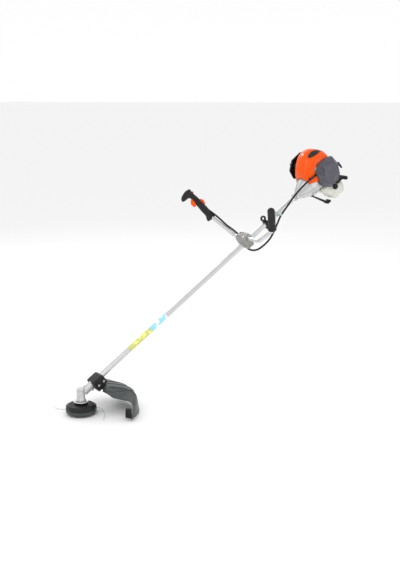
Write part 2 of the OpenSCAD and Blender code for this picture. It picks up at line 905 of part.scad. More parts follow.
module filter_cover() {
    color([0.33, 0.33, 0.36]) on_tube() difference() {
        hull() {
            cover_layer(cover_back, 1, -70, -52);
            cover_layer(cover_face, 1, -94, -90);
        }
        hull() {
            cover_layer(cover_back, 0.95, -68.5, -51);
            cover_layer(cover_face, 0.95, -91, -88);
        }
        translate([1590, -71, 40]) cube([24, 20, 38]);
    }
    color([0.33, 0.33, 0.36]) on_tube() translate(choke_pin) {
        rod_y(3, -12, 2);
        translate([-13.5, 0.5, -5]) cube([16, 4, 10]);
    }
}

module fuel_tank() {
    color([0.93, 0.93, 0.88, 0.9]) on_tube() difference() {
        union() {
            hull() {
                translate([1602, -44, -72]) cube([48, 88, 18]);
                translate([1648, -44, -148]) cube([76, 88, 20]);
                translate([1700, -44, -128]) cube([34, 88, 22]);
            }
            translate([tank_neck[0], -44, tank_neck[1]]) rod_y(13, -14, 2);
        }
        hull() {
            translate([1605, -41, -72]) cube([43, 82, 15]);
            translate([1651, -41, -145]) cube([70, 82, 17]);
            translate([1700, -41, -125]) cube([31, 82, 16]);
        }
        translate([tank_neck[0], -44, tank_neck[1]]) rod_y(10.2, -20, 6);
    }
}

module fuel_cap() {
    ribs = 16;
    color("black") on_tube() translate([tank_neck[0], -58.3, tank_neck[1]]) difference() {
        union() {
            rod_y(15.5, -11, 0);
            rod_y(9.9, -1, 9);
        }
        for (i = [0 : ribs - 1]) rotate([0, i * 360 / ribs, 0])
            translate([16.5, 0, 0]) rod_y(2, -14, 2);
        rod_y(7.4, 0, 12);
    }
}

module starter_housing() {
    color([0.14, 0.14, 0.14]) on_tube() difference() {
        union() {
            rod_x(58, case_end_s + 1, starter_s - 4);
            rod_x(52, starter_s - 5, starter_s);
            hull() {
                translate([starter_s - 14, -51, grip_rope[1] - 7]) cube([10, 14, 14]);
                translate([starter_s - 14, -40, -44]) cube([10, 20, 10]);
            }
        }
        rod_x(54, case_end_s, starter_s - 6);
        for (a = [0 : 30 : 330]) rotate([a, 0, 0])
            translate([starter_s - 10, -3, 30]) cube([20, 6, 16]);
        translate([0, grip_rope[0], grip_rope[1]]) rod_x(2.6, starter_s - 40, starter_s);
        rod_x(7, starter_s - 10, starter_s + 2);
        for (w = [-36, 36]) for (n = [-34, 34]) translate([0, w, n])
            rod_x(2.5, starter_s - 10, starter_s + 2);
        translate([case_end_s - 1, -12, -62]) cube([8, 24, 12]);
    }
}

module starter_pulley() {
    color("dimgray") on_tube() difference() {
        turned_x([[8 + run_fit, 1690], [30, 1690], [30, 1692], [26, 1694], [26, 1700],
            [30, 1702], [30, 1704], [8 + run_fit, 1704]]);
        for (a = [0 : 60 : 300]) rotate([a, 0, 0]) translate([1680, 0, 18]) rod_x(4, 0, 40);
    }
}

module starter_grip() {
    color("black") on_tube() translate([starter_s + 24, grip_rope[0], grip_rope[1]]) {
        rod_y(10, -26, 26);
        for (w = [-1, 1]) translate([0, 26 * w, 0]) sphere(r = 10, $fn = 32);
        rod_x(7, -26, 0);
    }
    color("ivory") on_tube() translate([0, grip_rope[0], grip_rope[1]]) rod_x(1.8, starter_s - 14, starter_s + 6);
}

module engine_cover() {
    wall = 3;
    color("orangered") on_tube() difference() {
        hull() {
            translate([1538, -50, 24]) cube([20, 108, 60]);
            translate([1556, -58, 0]) cube([150, 122, 90]);
            translate([1590, -46, 110]) cube([100, 96, 24]);
            translate([1618, -36, 150]) cube([40, 76, 18]);
        }
        hull() {
            translate([1541, -47, 21]) cube([20, 102, 60]);
            translate([1559, -55, -3]) cube([144, 116, 90]);
            translate([1592, -43, 107]) cube([94, 90, 24]);
            translate([1620, -33, 147]) cube([34, 70, 18]);
        }
        rod_x(flange_r + 6, 1500, 1760);
        translate([1596, -70, -20]) cube([140, 30, 110]);
        translate([1590, 50, 30]) cube([80, 40, 80]);
        for (i = [0 : 4]) translate([1600 + i * 15, -30, 118]) cube([7, 60, 60]);
    }
}

module stand() {
    color("black") on_tube() difference() {
        union() {
            hull() {
                translate([1548, -8, -62]) cube([12, 16, 6]);
                translate([1616, -8, -154]) cube([12, 16, 6]);
            }
            translate([1616, -17, -156]) cube([22, 34, 6]);
            translate([1634, -17, -156]) cube([4, 34, 11]);
            translate([1550, -14, -62]) cube([14, 28, 14]);
        }
        turned_x([[0, 1480], [22.3, 1490], [30.3, 1501], [46.3, 1535], [flange_r - 3.7, 1557],
            [flange_r + 0.3, 1559], [flange_r + 0.3, 1600], [0, 1600]]);
    }
}

main_tube();
shaft_bushes();
drive_shaft();
gear_case();
gear_case_cap();
bearings();
bevel_pinion();
bevel_gear();
output_shaft();
blade_flange();
drive_adapter();
head_housing();
head_cover();
spool();
bump_knob();
bump_spring();
line_eyelets();
cutting_line_a();
cutting_line_b();
guard_shield();
guard_bracket();
knife_holder();
line_knife();
bolts();
handlebar();
clamp_base();
clamp_cap();
left_grip();
throttle_case_left();
throttle_case_right();
trigger();
lockout_lever();
stop_switch();
throttle_cable();
harness_ring();
clutch_housing();
clutch_drum();
clutch_shoes();
crankcase();
crankshaft();
flywheel();
conrod();
piston();
engine_cylinder();
spark_plug();
muffler();
muffler_cover();
carburettor();
throttle_lever();
choke_lever();
primer_bulb();
air_filter();
filter_cover();
fuel_tank();
fuel_cap();
starter_housing();
starter_pulley();
starter_grip();
engine_cover();
stand();
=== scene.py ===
# String trimmer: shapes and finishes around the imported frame.
# A piece is drawn in millimetres in a working frame and lands in metres in the row frame.
import json
from math import atan2, cos, hypot, pi, radians, sin, sqrt, tan
import bmesh
import bpy
from mathutils import Matrix, Vector


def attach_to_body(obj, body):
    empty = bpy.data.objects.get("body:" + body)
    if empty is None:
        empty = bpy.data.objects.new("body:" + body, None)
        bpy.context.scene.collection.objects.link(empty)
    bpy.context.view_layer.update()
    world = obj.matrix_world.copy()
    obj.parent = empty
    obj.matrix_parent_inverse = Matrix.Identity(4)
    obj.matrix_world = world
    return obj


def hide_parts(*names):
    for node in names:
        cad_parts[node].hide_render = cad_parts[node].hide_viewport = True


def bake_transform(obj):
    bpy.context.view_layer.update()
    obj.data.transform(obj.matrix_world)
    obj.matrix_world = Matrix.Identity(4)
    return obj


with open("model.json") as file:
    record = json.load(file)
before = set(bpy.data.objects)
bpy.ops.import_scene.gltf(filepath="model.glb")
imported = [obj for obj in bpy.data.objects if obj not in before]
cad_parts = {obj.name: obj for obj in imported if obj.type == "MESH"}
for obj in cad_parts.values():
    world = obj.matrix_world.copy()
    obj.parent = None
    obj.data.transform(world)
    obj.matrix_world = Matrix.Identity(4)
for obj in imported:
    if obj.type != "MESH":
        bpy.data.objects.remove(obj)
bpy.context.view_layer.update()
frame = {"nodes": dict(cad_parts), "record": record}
print("frame loaded")

layout = {
    "tilt": 34.4,  # degrees between the tube and the ground
    "axisHeight": 95.0,
    "tubeRadius": 13.0,
    "clampStation": 1110.0,
    "ringStation": 1255.0,
    "shadeAngle": 38.0,  # edges sharper than this stay crisp
    "bevelAngle": 34.0,  # edges sharper than this take a bevel
    "mergeWithin": 0.003,  # points closer than this become one
}

millimetres = Matrix.Scale(0.001, 4)
headFrame = millimetres
tubeFrame = (millimetres @ Matrix.Translation((0, 0, layout["axisHeight"]))
             @ Matrix.Rotation(-radians(layout["tilt"]), 4, "Y"))
alongX = Matrix.Rotation(pi / 2, 4, "Y")  # turns a z axis onto x
alongY = Matrix.Rotation(-pi / 2, 4, "X")  # turns a z axis onto y


# ---- drawing helpers ----

def startPiece():
    return bmesh.new()


def showMesh(bm, name, finish, place):
    bmesh.ops.transform(bm, matrix=place, verts=bm.verts)
    mesh = bpy.data.meshes.new(name)
    bm.to_mesh(mesh)
    bm.free()
    for face in mesh.polygons:
        face.use_smooth = True
    mesh.materials.append(finishes[finish] if isinstance(finish, str) else finish)
    piece = bpy.data.objects.new(name, mesh)
    bpy.context.scene.collection.objects.link(piece)
    return piece


# A finish is named from the table or handed in as a material; attach hangs the piece under its body's empty
# and hides the frame parts it replaces.
def attach(piece, body, replaced=()):
    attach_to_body(piece, body)
    if replaced:
        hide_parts(*replaced)


def finishPiece(bm, name, body, finish, place=headFrame, replaced=(), solid=None, bevel=None, smooth=None,
                crisp=None):
    bmesh.ops.remove_doubles(bm, verts=bm.verts, dist=layout["mergeWithin"])
    bmesh.ops.recalc_face_normals(bm, faces=bm.faces)
    piece = showMesh(bm, name, finish, place)
    piece.data.set_sharp_from_angle(angle=radians(crisp or layout["shadeAngle"]))
    if solid:
        wall = piece.modifiers.new("wall", "SOLIDIFY")
        wall.thickness = abs(solid) / 1000
        wall.offset = -1 if solid > 0 else 1
        wall.use_even_offset = True
    if smooth:
        soft = piece.modifiers.new("soft", "SUBSURF")
        soft.levels = smooth
        soft.render_levels = smooth
    if bevel:
        edge = piece.modifiers.new("edge", "BEVEL")
        edge.width = bevel / 1000
        edge.segments = 2
        edge.limit_method = "ANGLE"
        edge.angle_limit = radians(layout["bevelAngle"])
    attach(piece, body, replaced)
    return piece


def circleOf(bm, radius, place, sides=48):
    made = bmesh.ops.create_circle(bm, cap_ends=False, segments=sides, radius=radius, matrix=place)
    return edgesOf(made["verts"])


def edgesOf(verts):
    found = set(verts)
    return [e for v in verts for e in v.link_edges
            if e.verts[0] is v and e.verts[1] in found]


def loopOf(bm, points):
    verts = [bm.verts.new(p) for p in points]
    return [bm.edges.new((verts[i - 1], verts[i])) for i in range(len(verts))]


def chainOf(bm, points):
    verts = [bm.verts.new(p) for p in points]
    return [bm.edges.new((verts[i], verts[i + 1])) for i in range(len(verts) - 1)]


def capOf(bm, edges):
    bmesh.ops.contextual_create(bm, geom=edges)


# Skins a row of closed outlines; the ends are closed when asked.
def skin(bm, outlines, closed=(True, True)):
    loops = [loopOf(bm, o) for o in outlines]
    for a, b in zip(loops, loops[1:]):
        bmesh.ops.bridge_loops(bm, edges=a + b)
    for loop, close in zip((loops[0], loops[-1]), closed):
        if close:
            capOf(bm, loop)
    return loops


# Turns an outline of (radius, station) about the z axis of place.
def turned(bm, outline, place=Matrix.Identity(4), steps=72, closed=True):
    points = [place @ Vector((r, 0, z)) for r, z in outline]
    edges = loopOf(bm, points) if closed else chainOf(bm, points)
    verts = list({v for e in edges for v in e.verts})
    bmesh.ops.spin(bm, geom=verts + edges, cent=place.translation, axis=place.to_3x3() @ Vector((0, 0, 1)),
                   angle=2 * pi, steps=steps, use_merge=True)


def box(bm, low, high, place=Matrix.Identity(4), bevel=0.0, segments=2):
    low, high = Vector(low), Vector(high)
    size = Matrix.Diagonal((*(high - low), 1))
    made = bmesh.ops.create_cube(bm, size=1, matrix=place @ Matrix.Translation((low + high) / 2) @ size)
    if bevel:
        roundEdges(bm, edgesOf(made["verts"]), bevel, segments)
    return made["verts"]


def rod(bm, radius, start, end, sides=32, bevel=0.0):
    start, end = Vector(start), Vector(end)
    place = Matrix.Translation((start + end) / 2) @ (end - start).to_track_quat("Z",
        "Y").to_matrix().to_4x4()
    made = bmesh.ops.create_cone(bm, cap_ends=True, segments=sides, radius1=radius, matrix=place,
                                 radius2=radius, depth=(end - start).length)
    if bevel:
        rims = [e for e in edgesOf(made["verts"]) if any(len(f.verts) > 4 for f in e.link_faces)]
        roundEdges(bm, rims, bevel, 2)
    return made["verts"]


def roundEdges(bm, edges, width, segments=2):
    bmesh.ops.bevel(bm, geom=edges, offset=width, offset_type="OFFSET", segments=segments, profile=0.5,
                    affect="EDGES", clamp_overlap=True, material=-1)


# Outline corners become arcs; every corner takes one radius or its own.
def rounded(points, radius, steps=4):
    made = []
    count = len(points)
    for i, point in enumerate(points):
        p = Vector(point)
        a, b = Vector(points[i - 1]) - p, Vector(points[(i + 1) % count]) - p
        r = radius[i] if isinstance(radius, (list, tuple)) else radius
        half = a.angle(b) / 2
        reach = min(r / tan(half), 0.48 * a.length, 0.48 * b.length) if r > 0 else 0
        if reach <= 0:
            made.append(p)
            continue
        start, end = p + a.normalized() * reach, p + b.normalized() * reach
        for k in range(steps + 1):
            t = k / steps
            made.append(start * (1 - t) ** 2 + p * 2 * t * (1 - t) + end * t * t)
    return made


# A flat outline with a thickness, drawn square to z of place.
def plate(bm, points, low, high, place=Matrix.Identity(4), bevel=0.0, segments=2):
    loop = loopOf(bm, [place @ Vector((p[0], p[1], low)) for p in points])
    capOf(bm, loop)
    base = [f for e in loop for f in e.link_faces][:1]
    made = bmesh.ops.extrude_face_region(bm, geom=base)
    verts = [g for g in made["geom"] if isinstance(g, bmesh.types.BMVert)]
    bmesh.ops.translate(bm, vec=(place.to_3x3() @ Vector((0, 0, high - low))), verts=verts)
    if bevel:
        rims = [e for f in base + [g for g in made["geom"] if isinstance(g,
            bmesh.types.BMFace)] for e in f.edges]
        roundEdges(bm, list(set(rims)), bevel, segments)


def splinePoint(p, i, t):
    a, b, c, d = p[max(i - 1, 0)], p[i], p[i + 1], p[min(i + 2, len(p) - 1)]
    square, cube = a * 2 - b * 5 + c * 4 - d, b * 3 - a - c * 3 + d
    return (b * 2 + (c - a) * t + square * t ** 2 + cube * t ** 3) * 0.5


def smoothPath(points, steps):
    p = [Vector(x) for x in points]
    return [splinePoint(p, i, k / steps) for i in range(len(p) - 1) for k in range(steps)] + [p[-1]]


# Straight runs with their corners rounded to a bend radius.
def bentPath(points, radius, steps=10):
    p = [Vector(x) for x in points]
    made = [p[0]]
    for i in range(1, len(p) - 1):
        a, b = (p[i - 1] - p[i]), (p[i + 1] - p[i])
        reach = min(radius / tan(a.angle(b) / 2), 0.48 * a.length, 0.48 * b.length)
        start, end = p[i] + a.normalized() * reach, p[i] + b.normalized() * reach
        for k in range(steps + 1):
            t = k / steps
            made.append(start * (1 - t) ** 2 + p[i] * 2 * t * (1 - t) + end * t * t)
    return made + [p[-1]]


# Frames along a path, each turned as little as possible from the last.
def framesAlong(path):
    made, side = [], Vector((0.31, 0.47, 0.83))
    for i, point in enumerate(path):
        ahead = (path[min(i + 1, len(path) - 1)] - path[max(i - 1, 0)]).normalized()
        side = (side - ahead * side.dot(ahead)).normalized()
        made.append(Matrix.Translation(point) @ Matrix((side, ahead.cross(side),
                                                        ahead)).transposed().to_4x4())
    return made


def tubeAlong(bm, path, radius, sides=16, caps=True):
    radii = radius if isinstance(radius, list) else [radius] * len(path)
    loops = [circleOf(bm, r, place, sides) for r, place in zip(radii, framesAlong(path))]
    for a, b in zip(loops, loops[1:]):
        bmesh.ops.bridge_loops(bm, edges=a + b)
    if caps:
        capOf(bm, loops[0])
        capOf(bm, loops[-1])


# Turns about an axis, spaced evenly, the first one turned by phase.
def spokes(count, phase=0.0, axis="Z"):
    return [Matrix.Rotation(2 * pi * k / count + phase, 4, axis) for k in range(count)]


# Round-cornered oval: power 2 is an ellipse, larger is boxier.
def oval(width, depth, power, count):
    points = []
    for k in range(count):
        a = 2 * pi * k / count
        x, y = cos(a), sin(a)
        points.append((width * abs(x) ** (2 / power) * (1 if x >= 0 else -1),
                       depth * abs(y) ** (2 / power) * (1 if y >= 0 else -1)))
    return points


# A grid of faces placed by a rule of its two shares, each from 0 to 1.
def sheetOf(bm, across, along, rule):
    made = bmesh.ops.create_grid(bm, x_segments=across, y_segments=along, size=0.5)
    for v in made["verts"]:
        v.co = rule(v.co.x + 0.5, v.co.y + 0.5)
    return made["verts"]


# Straight stretches between the table's points.
def ramp(table, x):
    for (x0, y0), (x1, y1) in zip(table, table[1:]):
        if x <= x1:
            return y0 + (y1 - y0) * max(0.0, min(1.0, (x - x0) / (x1 - x0)))
    return table[-1][1]


# ---- shader groups ----

class Wiring:
    def __init__(self, tree):
        self.tree = tree

    def node(self, kind, **values):
        made = self.tree.nodes.new(kind)
        for key, value in values.items():
            setattr(made, key, value)
        return made

    def link(self, output, target):
        self.tree.links.new(output, target)

    def feed(self, target, value):
        if isinstance(value, bpy.types.NodeSocket):
            self.link(value, target)
        else:
            target.default_value = value

    def noise(self, vector, scale, detail=3.0, roughness=0.55):
        made = self.node("ShaderNodeTexNoise")
        self.feed(made.inputs["Vector"], vector)
        self.feed(made.inputs["Scale"], scale)
        made.inputs["Detail"].default_value = detail
        made.inputs["Roughness"].default_value = roughness
        return made.outputs["Fac"]

    def mathOf(self, operation, a, b=0.0, c=0.0):
        made = self.node("ShaderNodeMath", operation=operation)
        for socket, value in zip(made.inputs, (a, b, c)):
            self.feed(socket, value)
        return made.outputs[0]

    def span(self, value, low, high, toLow=0.0, toHigh=1.0):
        made = self.node("ShaderNodeMapRange")
        self.feed(made.inputs[0], value)
        for socket, number in zip(list(made.inputs)[1:5], (low, high, toLow, toHigh)):
            self.feed(socket, number)
        return made.outputs[0]

    def blend(self, share, a, b, kind="MIX"):
        made = self.node("ShaderNodeMix", data_type="RGBA", blend_type=kind)
        self.feed(made.inputs[0], share)
        self.feed(made.inputs[6], a)
        self.feed(made.inputs[7], b)
        return made.outputs[2]

    def stretched(self, vector, scale, turn=(0, 0, 0)):
        made = self.node("ShaderNodeMapping")
        self.feed(made.inputs["Vector"], vector)
        made.inputs["Scale"].default_value = scale
        made.inputs["Rotation"].default_value = turn
        return made.outputs[0]

    def bump(self, height, strength, distance, normal=None):
        made = self.node("ShaderNodeBump")
        self.feed(made.inputs["Height"], height)
        self.feed(made.inputs["Strength"], strength)
        self.feed(made.inputs["Distance"], distance)
        if normal is not None:
            self.link(normal, made.inputs["Normal"])
        return made.outputs[0]


def newGroup(name, inputs, outputs):
    tree = bpy.data.node_groups.new(name, "ShaderNodeTree")
    for label, kind, value in inputs:
        socket = tree.interface.new_socket(label, in_out="INPUT", socket_type="NodeSocket" + kind)
        if value is not None:
            socket.default_value = value
    for label, kind in outputs:
        tree.interface.new_socket(label, in_out="OUTPUT", socket_type="NodeSocket" + kind)
    wires = Wiring(tree)
    start, end = wires.node("NodeGroupInput"), wires.node("NodeGroupOutput")
    return tree, wires, {s.name: s for s in start.outputs}, {s.name: s for s in end.inputs}


# Moulded plastic: fine spark texture, faint flow clouds, dust that settles low in the grain.
def mouldedGroup():
    tree, w, i, o = newGroup("mouldedPlastic", [
        ("Vector", "Vector", None), ("Base", "Color", (0.1, 0.1, 0.1, 1)),
        ("Dust", "Color", (0.3, 0.3, 0.28, 1)),
        ("Dustiness", "Float", 0.1), ("Rough", "Float", 0.5), ("Grain", "Float", 900.0),
        ("Relief", "Float", 0.3)],
        [("Color", "Color"), ("Roughness", "Float"), ("Normal", "Vector")])
    cloud = w.noise(i["Vector"], 9.0, 4.0)
    patch = w.noise(i["Vector"], 46.0, 5.0, 0.62)
    grain = w.noise(i["Vector"], i["Grain"], 2.0)
    shade = w.blend(w.span(cloud, 0.35, 0.65, 0.0, 0.4), i["Base"],
                    w.blend(1.0, i["Base"], (0.72, 0.72, 0.72, 1), "MULTIPLY"))
    settled = w.mathOf("MULTIPLY", w.span(patch, 0.48, 0.72), i["Dustiness"])
    w.link(w.blend(settled, shade, i["Dust"]), o["Color"])
    worn = w.mathOf("ADD", i["Rough"], w.span(patch, 0.3, 0.75, -0.06, 0.1))
    w.link(worn, o["Roughness"])
    w.link(w.bump(grain, i["Relief"], 0.0004), o["Normal"])
    return tree


# Cast metal: pitted skin with soft swells and darker low spots.
def castGroup():
    tree, w, i, o = newGroup("castMetal", [
        ("Vector", "Vector", None), ("Base", "Color", (0.7, 0.7, 0.7, 1)),
        ("Low", "Color", (0.4, 0.4, 0.4, 1)),
        ("Rough", "Float", 0.45), ("Grain", "Float", 420.0), ("Relief", "Float", 0.5)],
        [("Color", "Color"), ("Roughness", "Float"), ("Normal", "Vector")])
    swell = w.noise(i["Vector"], 24.0, 4.0)
    pits = w.noise(i["Vector"], i["Grain"], 3.0, 0.6)
    stain = w.noise(i["Vector"], 70.0, 6.0, 0.66)
    low = w.span(stain, 0.5, 0.78, 0.0, 0.55)
    w.link(w.blend(w.mathOf("MAXIMUM", low, w.span(pits, 0.62, 0.8, 0.0, 0.5)), i["Base"], i["Low"]),
           o["Color"])
    w.link(w.mathOf("ADD", i["Rough"], w.span(stain, 0.3, 0.7, -0.08, 0.12)), o["Roughness"])
    height = w.mathOf("ADD", w.mathOf("MULTIPLY", swell, 0.5), w.mathOf("MULTIPLY", pits, 0.5))
    w.link(w.bump(height, i["Relief"], 0.0006), o["Normal"])
    return tree


# Drawn or machined metal: fine streaks along one axis, hairline scratches and a few smudges.
def drawnGroup():
    tree, w, i, o = newGroup("drawnMetal", [
        ("Vector", "Vector", None), ("Streaks", "Vector", None), ("Base", "Color", (0.8, 0.8, 0.8, 1)),
        ("Smudge", "Color", (0.5, 0.5, 0.5, 1)), ("Rough", "Float", 0.3), ("Relief", "Float", 0.15)],
        [("Color", "Color"), ("Roughness", "Float"), ("Normal", "Vector")])
    streak = w.noise(i["Streaks"], 1.0, 4.0, 0.6)
    smudge = w.noise(i["Vector"], 13.0, 5.0, 0.6)
    w.link(w.blend(w.span(smudge, 0.45, 0.75, 0.0, 0.35),
                   w.blend(w.span(streak, 0.3, 0.7, 0.0, 0.25), i["Base"], i["Smudge"]),
                   i["Smudge"]), o["Color"])
    rough = w.mathOf("ADD", i["Rough"], w.span(streak, 0.3, 0.7, -0.06, 0.1))
    w.link(w.mathOf("ADD", rough, w.span(smudge, 0.4, 0.7, 0.0, 0.1)), o["Roughness"])
    w.link(w.bump(streak, i["Relief"], 0.0002), o["Normal"])
    return tree


# Soft rubber: chalky bloom over a dull skin with a moulded diamond or pebble relief.
def rubberGroup():
    tree, w, i, o = newGroup("softRubber", [
        ("Vector", "Vector", None), ("Base", "Color", (0.03, 0.03, 0.03, 1)),
        ("Bloom", "Color", (0.16, 0.16, 0.15, 1)),
        ("Rough", "Float", 0.7), ("Pebble", "Float", 500.0), ("Relief", "Float", 0.5)],
        [("Color", "Color"), ("Roughness", "Float"), ("Normal", "Vector")])
    pebble = w.node("ShaderNodeTexVoronoi", feature="SMOOTH_F1")
    w.feed(pebble.inputs["Vector"], i["Vector"])
    w.feed(pebble.inputs["Scale"], i["Pebble"])
    cloud = w.noise(i["Vector"], 35.0, 5.0, 0.6)
    w.link(w.blend(w.span(cloud, 0.45, 0.75, 0.0, 0.6), i["Base"], i["Bloom"]), o["Color"])
    w.link(w.mathOf("ADD", i["Rough"], w.span(cloud, 0.3, 0.7, -0.08, 0.08)), o["Roughness"])
    w.link(w.bump(pebble.outputs["Distance"], i["Relief"], 0.0005), o["Normal"])
    return tree


groups = {"moulded": mouldedGroup(), "cast": castGroup(), "drawn": drawnGroup(), "rubber": rubberGroup()}


def material(name, group, values, shader=None, streaks=None):
    made = bpy.data.materials.new(name)
    made.use_nodes = True
    w = Wiring(made.node_tree)
    surface = made.node_tree.nodes["Principled BSDF"]
    place = w.node("ShaderNodeTexCoord").outputs["Object"]
    effect = w.node("ShaderNodeGroup")
    effect.node_tree = groups[group]
    w.link(place, effect.inputs["Vector"])
    if group == "drawn":
        scale, turn = streaks or ((20, 2200, 2200), (0, radians(layout["tilt"]), 0))
        w.link(w.stretched(place, scale, turn), effect.inputs["Streaks"])
    for key, value in values.items():
        effect.inputs[key].default_value = (*value, 1) if isinstance(value, tuple) else value
    w.link(effect.outputs["Color"], surface.inputs["Base Color"])
    w.link(effect.outputs["Roughness"], surface.inputs["Roughness"])
    w.link(effect.outputs["Normal"], surface.inputs["Normal"])
    for key, value in (shader or {}).items():
        surface.inputs[key].default_value = value
    return made


turnedStreaks = ((260, 260, 2600), (0, 0, 0))
metal = {"Metallic": 1.0}
finishes = {
    "bare_aluminium": material("bareAluminium", "drawn", {"Base": (0.66, 0.665, 0.675),
                                                          "Smudge": (0.42, 0.425, 0.435),
                               "Rough": 0.26, "Relief": 0.12}, metal),
    "cast_aluminium": material("castAluminium", "cast", {"Base": (0.6, 0.605, 0.6),
                                                         "Low": (0.36, 0.36, 0.35),
                               "Rough": 0.42, "Relief": 0.45}, {"Metallic": 0.85}),
    "clamp_casting": material("clampCasting", "cast", {"Base": (0.36, 0.35, 0.325),
                                                       "Low": (0.2, 0.19, 0.175),
                              "Rough": 0.5, "Relief": 0.6}, {"Metallic": 0.75}),
    "steel": material("zincSteel", "drawn", {"Base": (0.6, 0.6, 0.62), "Smudge": (0.36, 0.36, 0.37),
                                             "Rough": 0.3,
                      "Relief": 0.2}, metal, turnedStreaks),
    "flange_steel": material("flangeSteel", "drawn", {"Base": (0.8, 0.8, 0.79),
                                                      "Smudge": (0.55, 0.55, 0.53),
                             "Rough": 0.28, "Relief": 0.2}, metal, turnedStreaks),
    "black_plastic": material("blackPlastic", "moulded", {"Base": (0.009, 0.009, 0.009),
                                                          "Dust": (0.06, 0.06, 0.055),
                              "Dustiness": 0.3, "Rough": 0.4, "Relief": 0.3}, {"Specular IOR Level": 0.28}),
    "grey_plastic": material("greyPlastic", "moulded", {"Base": (0.045, 0.052, 0.052),
                                                        "Dust": (0.13, 0.14, 0.13),
                             "Dustiness": 0.3, "Rough": 0.36, "Relief": 0.3}, {"Specular IOR Level": 0.4}),
    "filter_plastic": material("filterPlastic", "moulded",
                               {"Base": (0.075, 0.073, 0.095), "Dust": (0.2, 0.19, 0.2),
                               "Dustiness": 0.25, "Rough": 0.34, "Relief": 0.22},
                               {"Specular IOR Level": 0.45}),
    "orange_plastic": material("orangePlastic", "moulded",
                               {"Base": (0.93, 0.095, 0.0), "Dust": (0.8, 0.15, 0.01),
                               "Dustiness": 0.15, "Rough": 0.3, "Grain": 1400.0, "Relief": 0.08},
                               {"Specular IOR Level": 0.2, "Coat Weight": 0.06, "Coat Roughness": 0.15}),
    "red_plastic": material("redPlastic", "moulded", {"Base": (0.55, 0.025, 0.015),
                                                      "Dust": (0.5, 0.12, 0.1),
                            "Dustiness": 0.3, "Rough": 0.3, "Relief": 0.1}, {"Coat Weight": 0.2}),
    "grip_rubber": material("gripRubber", "rubber", {"Base": (0.009, 0.009, 0.009),
                                                     "Bloom": (0.04, 0.04, 0.038),
                            "Rough": 0.55, "Relief": 0.5}, {"Specular IOR Level": 0.3}),
    "nylon": material("nylon", "moulded", {"Base": (0.5, 0.62, 0.57), "Dust": (0.66, 0.74, 0.7),
                                           "Dustiness": 0.4,
                      "Rough": 0.35, "Relief": 0.1}, {"Transmission Weight": 0.25, "IOR": 1.5}),
    "tank_plastic": material("tankPlastic", "moulded", {"Base": (0.86, 0.86, 0.78),
                                                        "Dust": (0.7, 0.68, 0.55),
                             "Dustiness": 0.35, "Rough": 0.4, "Relief": 0.2},
                             {"Transmission Weight": 0.3, "IOR": 1.45, "Subsurface Weight": 0.2}),
    "friction_lining": material("frictionLining", "cast",
                                {"Base": (0.2, 0.13, 0.09), "Low": (0.06, 0.05, 0.045),
                                "Rough": 0.8, "Relief": 0.8}),
    "filter_foam": material("filterFoam", "rubber", {"Base": (0.3, 0.27, 0.15), "Bloom": (0.42, 0.38, 0.25),
                            "Rough": 0.9, "Pebble": 700.0, "Relief": 1.0}),
    "plug_ceramic": material("plugCeramic", "moulded", {"Base": (0.78, 0.78, 0.75),
                                                        "Dust": (0.6, 0.58, 0.52),
                             "Dustiness": 0.2, "Rough": 0.15, "Relief": 0.02}, {"Coat Weight": 0.6}),
}
print("finishes made")


# ---- camera, floor and light ----

view = {
    "cameraAt": (-1.801, -3.867, 1.518),
    "lookAt": (0.4574, -0.298, 0.610),
    "roll": 0.12,  # degrees
    "lens": 86.94,
    "sensor": 36.0,
    "floor": (0.96, 0.96, 0.96),
    "horizon": (1.0, 1.0, 1.0),
    "ceiling": (0.92, 0.92, 0.93),
    "panels": {
        "keyPanel": ((-2.4, -2.8, 3.4), (0.6, 0, 0.5), (2.2, 1.6), 46),
        "fillPanel": ((3.2, -3.2, 1.8), (0.9, 0, 0.5), (1.6, 2.0), 14),
        "rimPanel": ((1.2, 3.4, 3.2), (0.8, 0, 0.6), (3.0, 1.2), 30),
    },
    "transform": "Standard",
}


def setCamera():
    data = bpy.data.cameras.new("mainCamera")
    data.lens = view["lens"]
    data.sensor_width = view["sensor"]
    data.sensor_fit = "HORIZONTAL"
    data.clip_start, data.clip_end = 0.05, 60.0
    camera = bpy.data.objects.new("mainCamera", data)
    bpy.context.scene.collection.objects.link(camera)
    camera.location = view["cameraAt"]
    towards = (Vector(view["lookAt"]) - camera.location).to_track_quat("-Z", "Y")
    camera.rotation_mode = "QUATERNION"
    camera.rotation_quaternion = towards @ Matrix.Rotation(radians(view["roll"]), 3, "Z").to_quaternion()
    bpy.context.scene.camera = camera


def softLight(name, at, aim, size, watts):
    data = bpy.data.lights.new(name, "AREA")
    data.shape = "RECTANGLE"
    data.size, data.size_y = size
    data.energy = watts
    light = bpy.data.objects.new(name, data)
    light.location = at
    light.rotation_euler = (Vector(aim) - Vector(at)).to_track_quat("-Z", "Y").to_euler()
    bpy.context.scene.collection.objects.link(light)


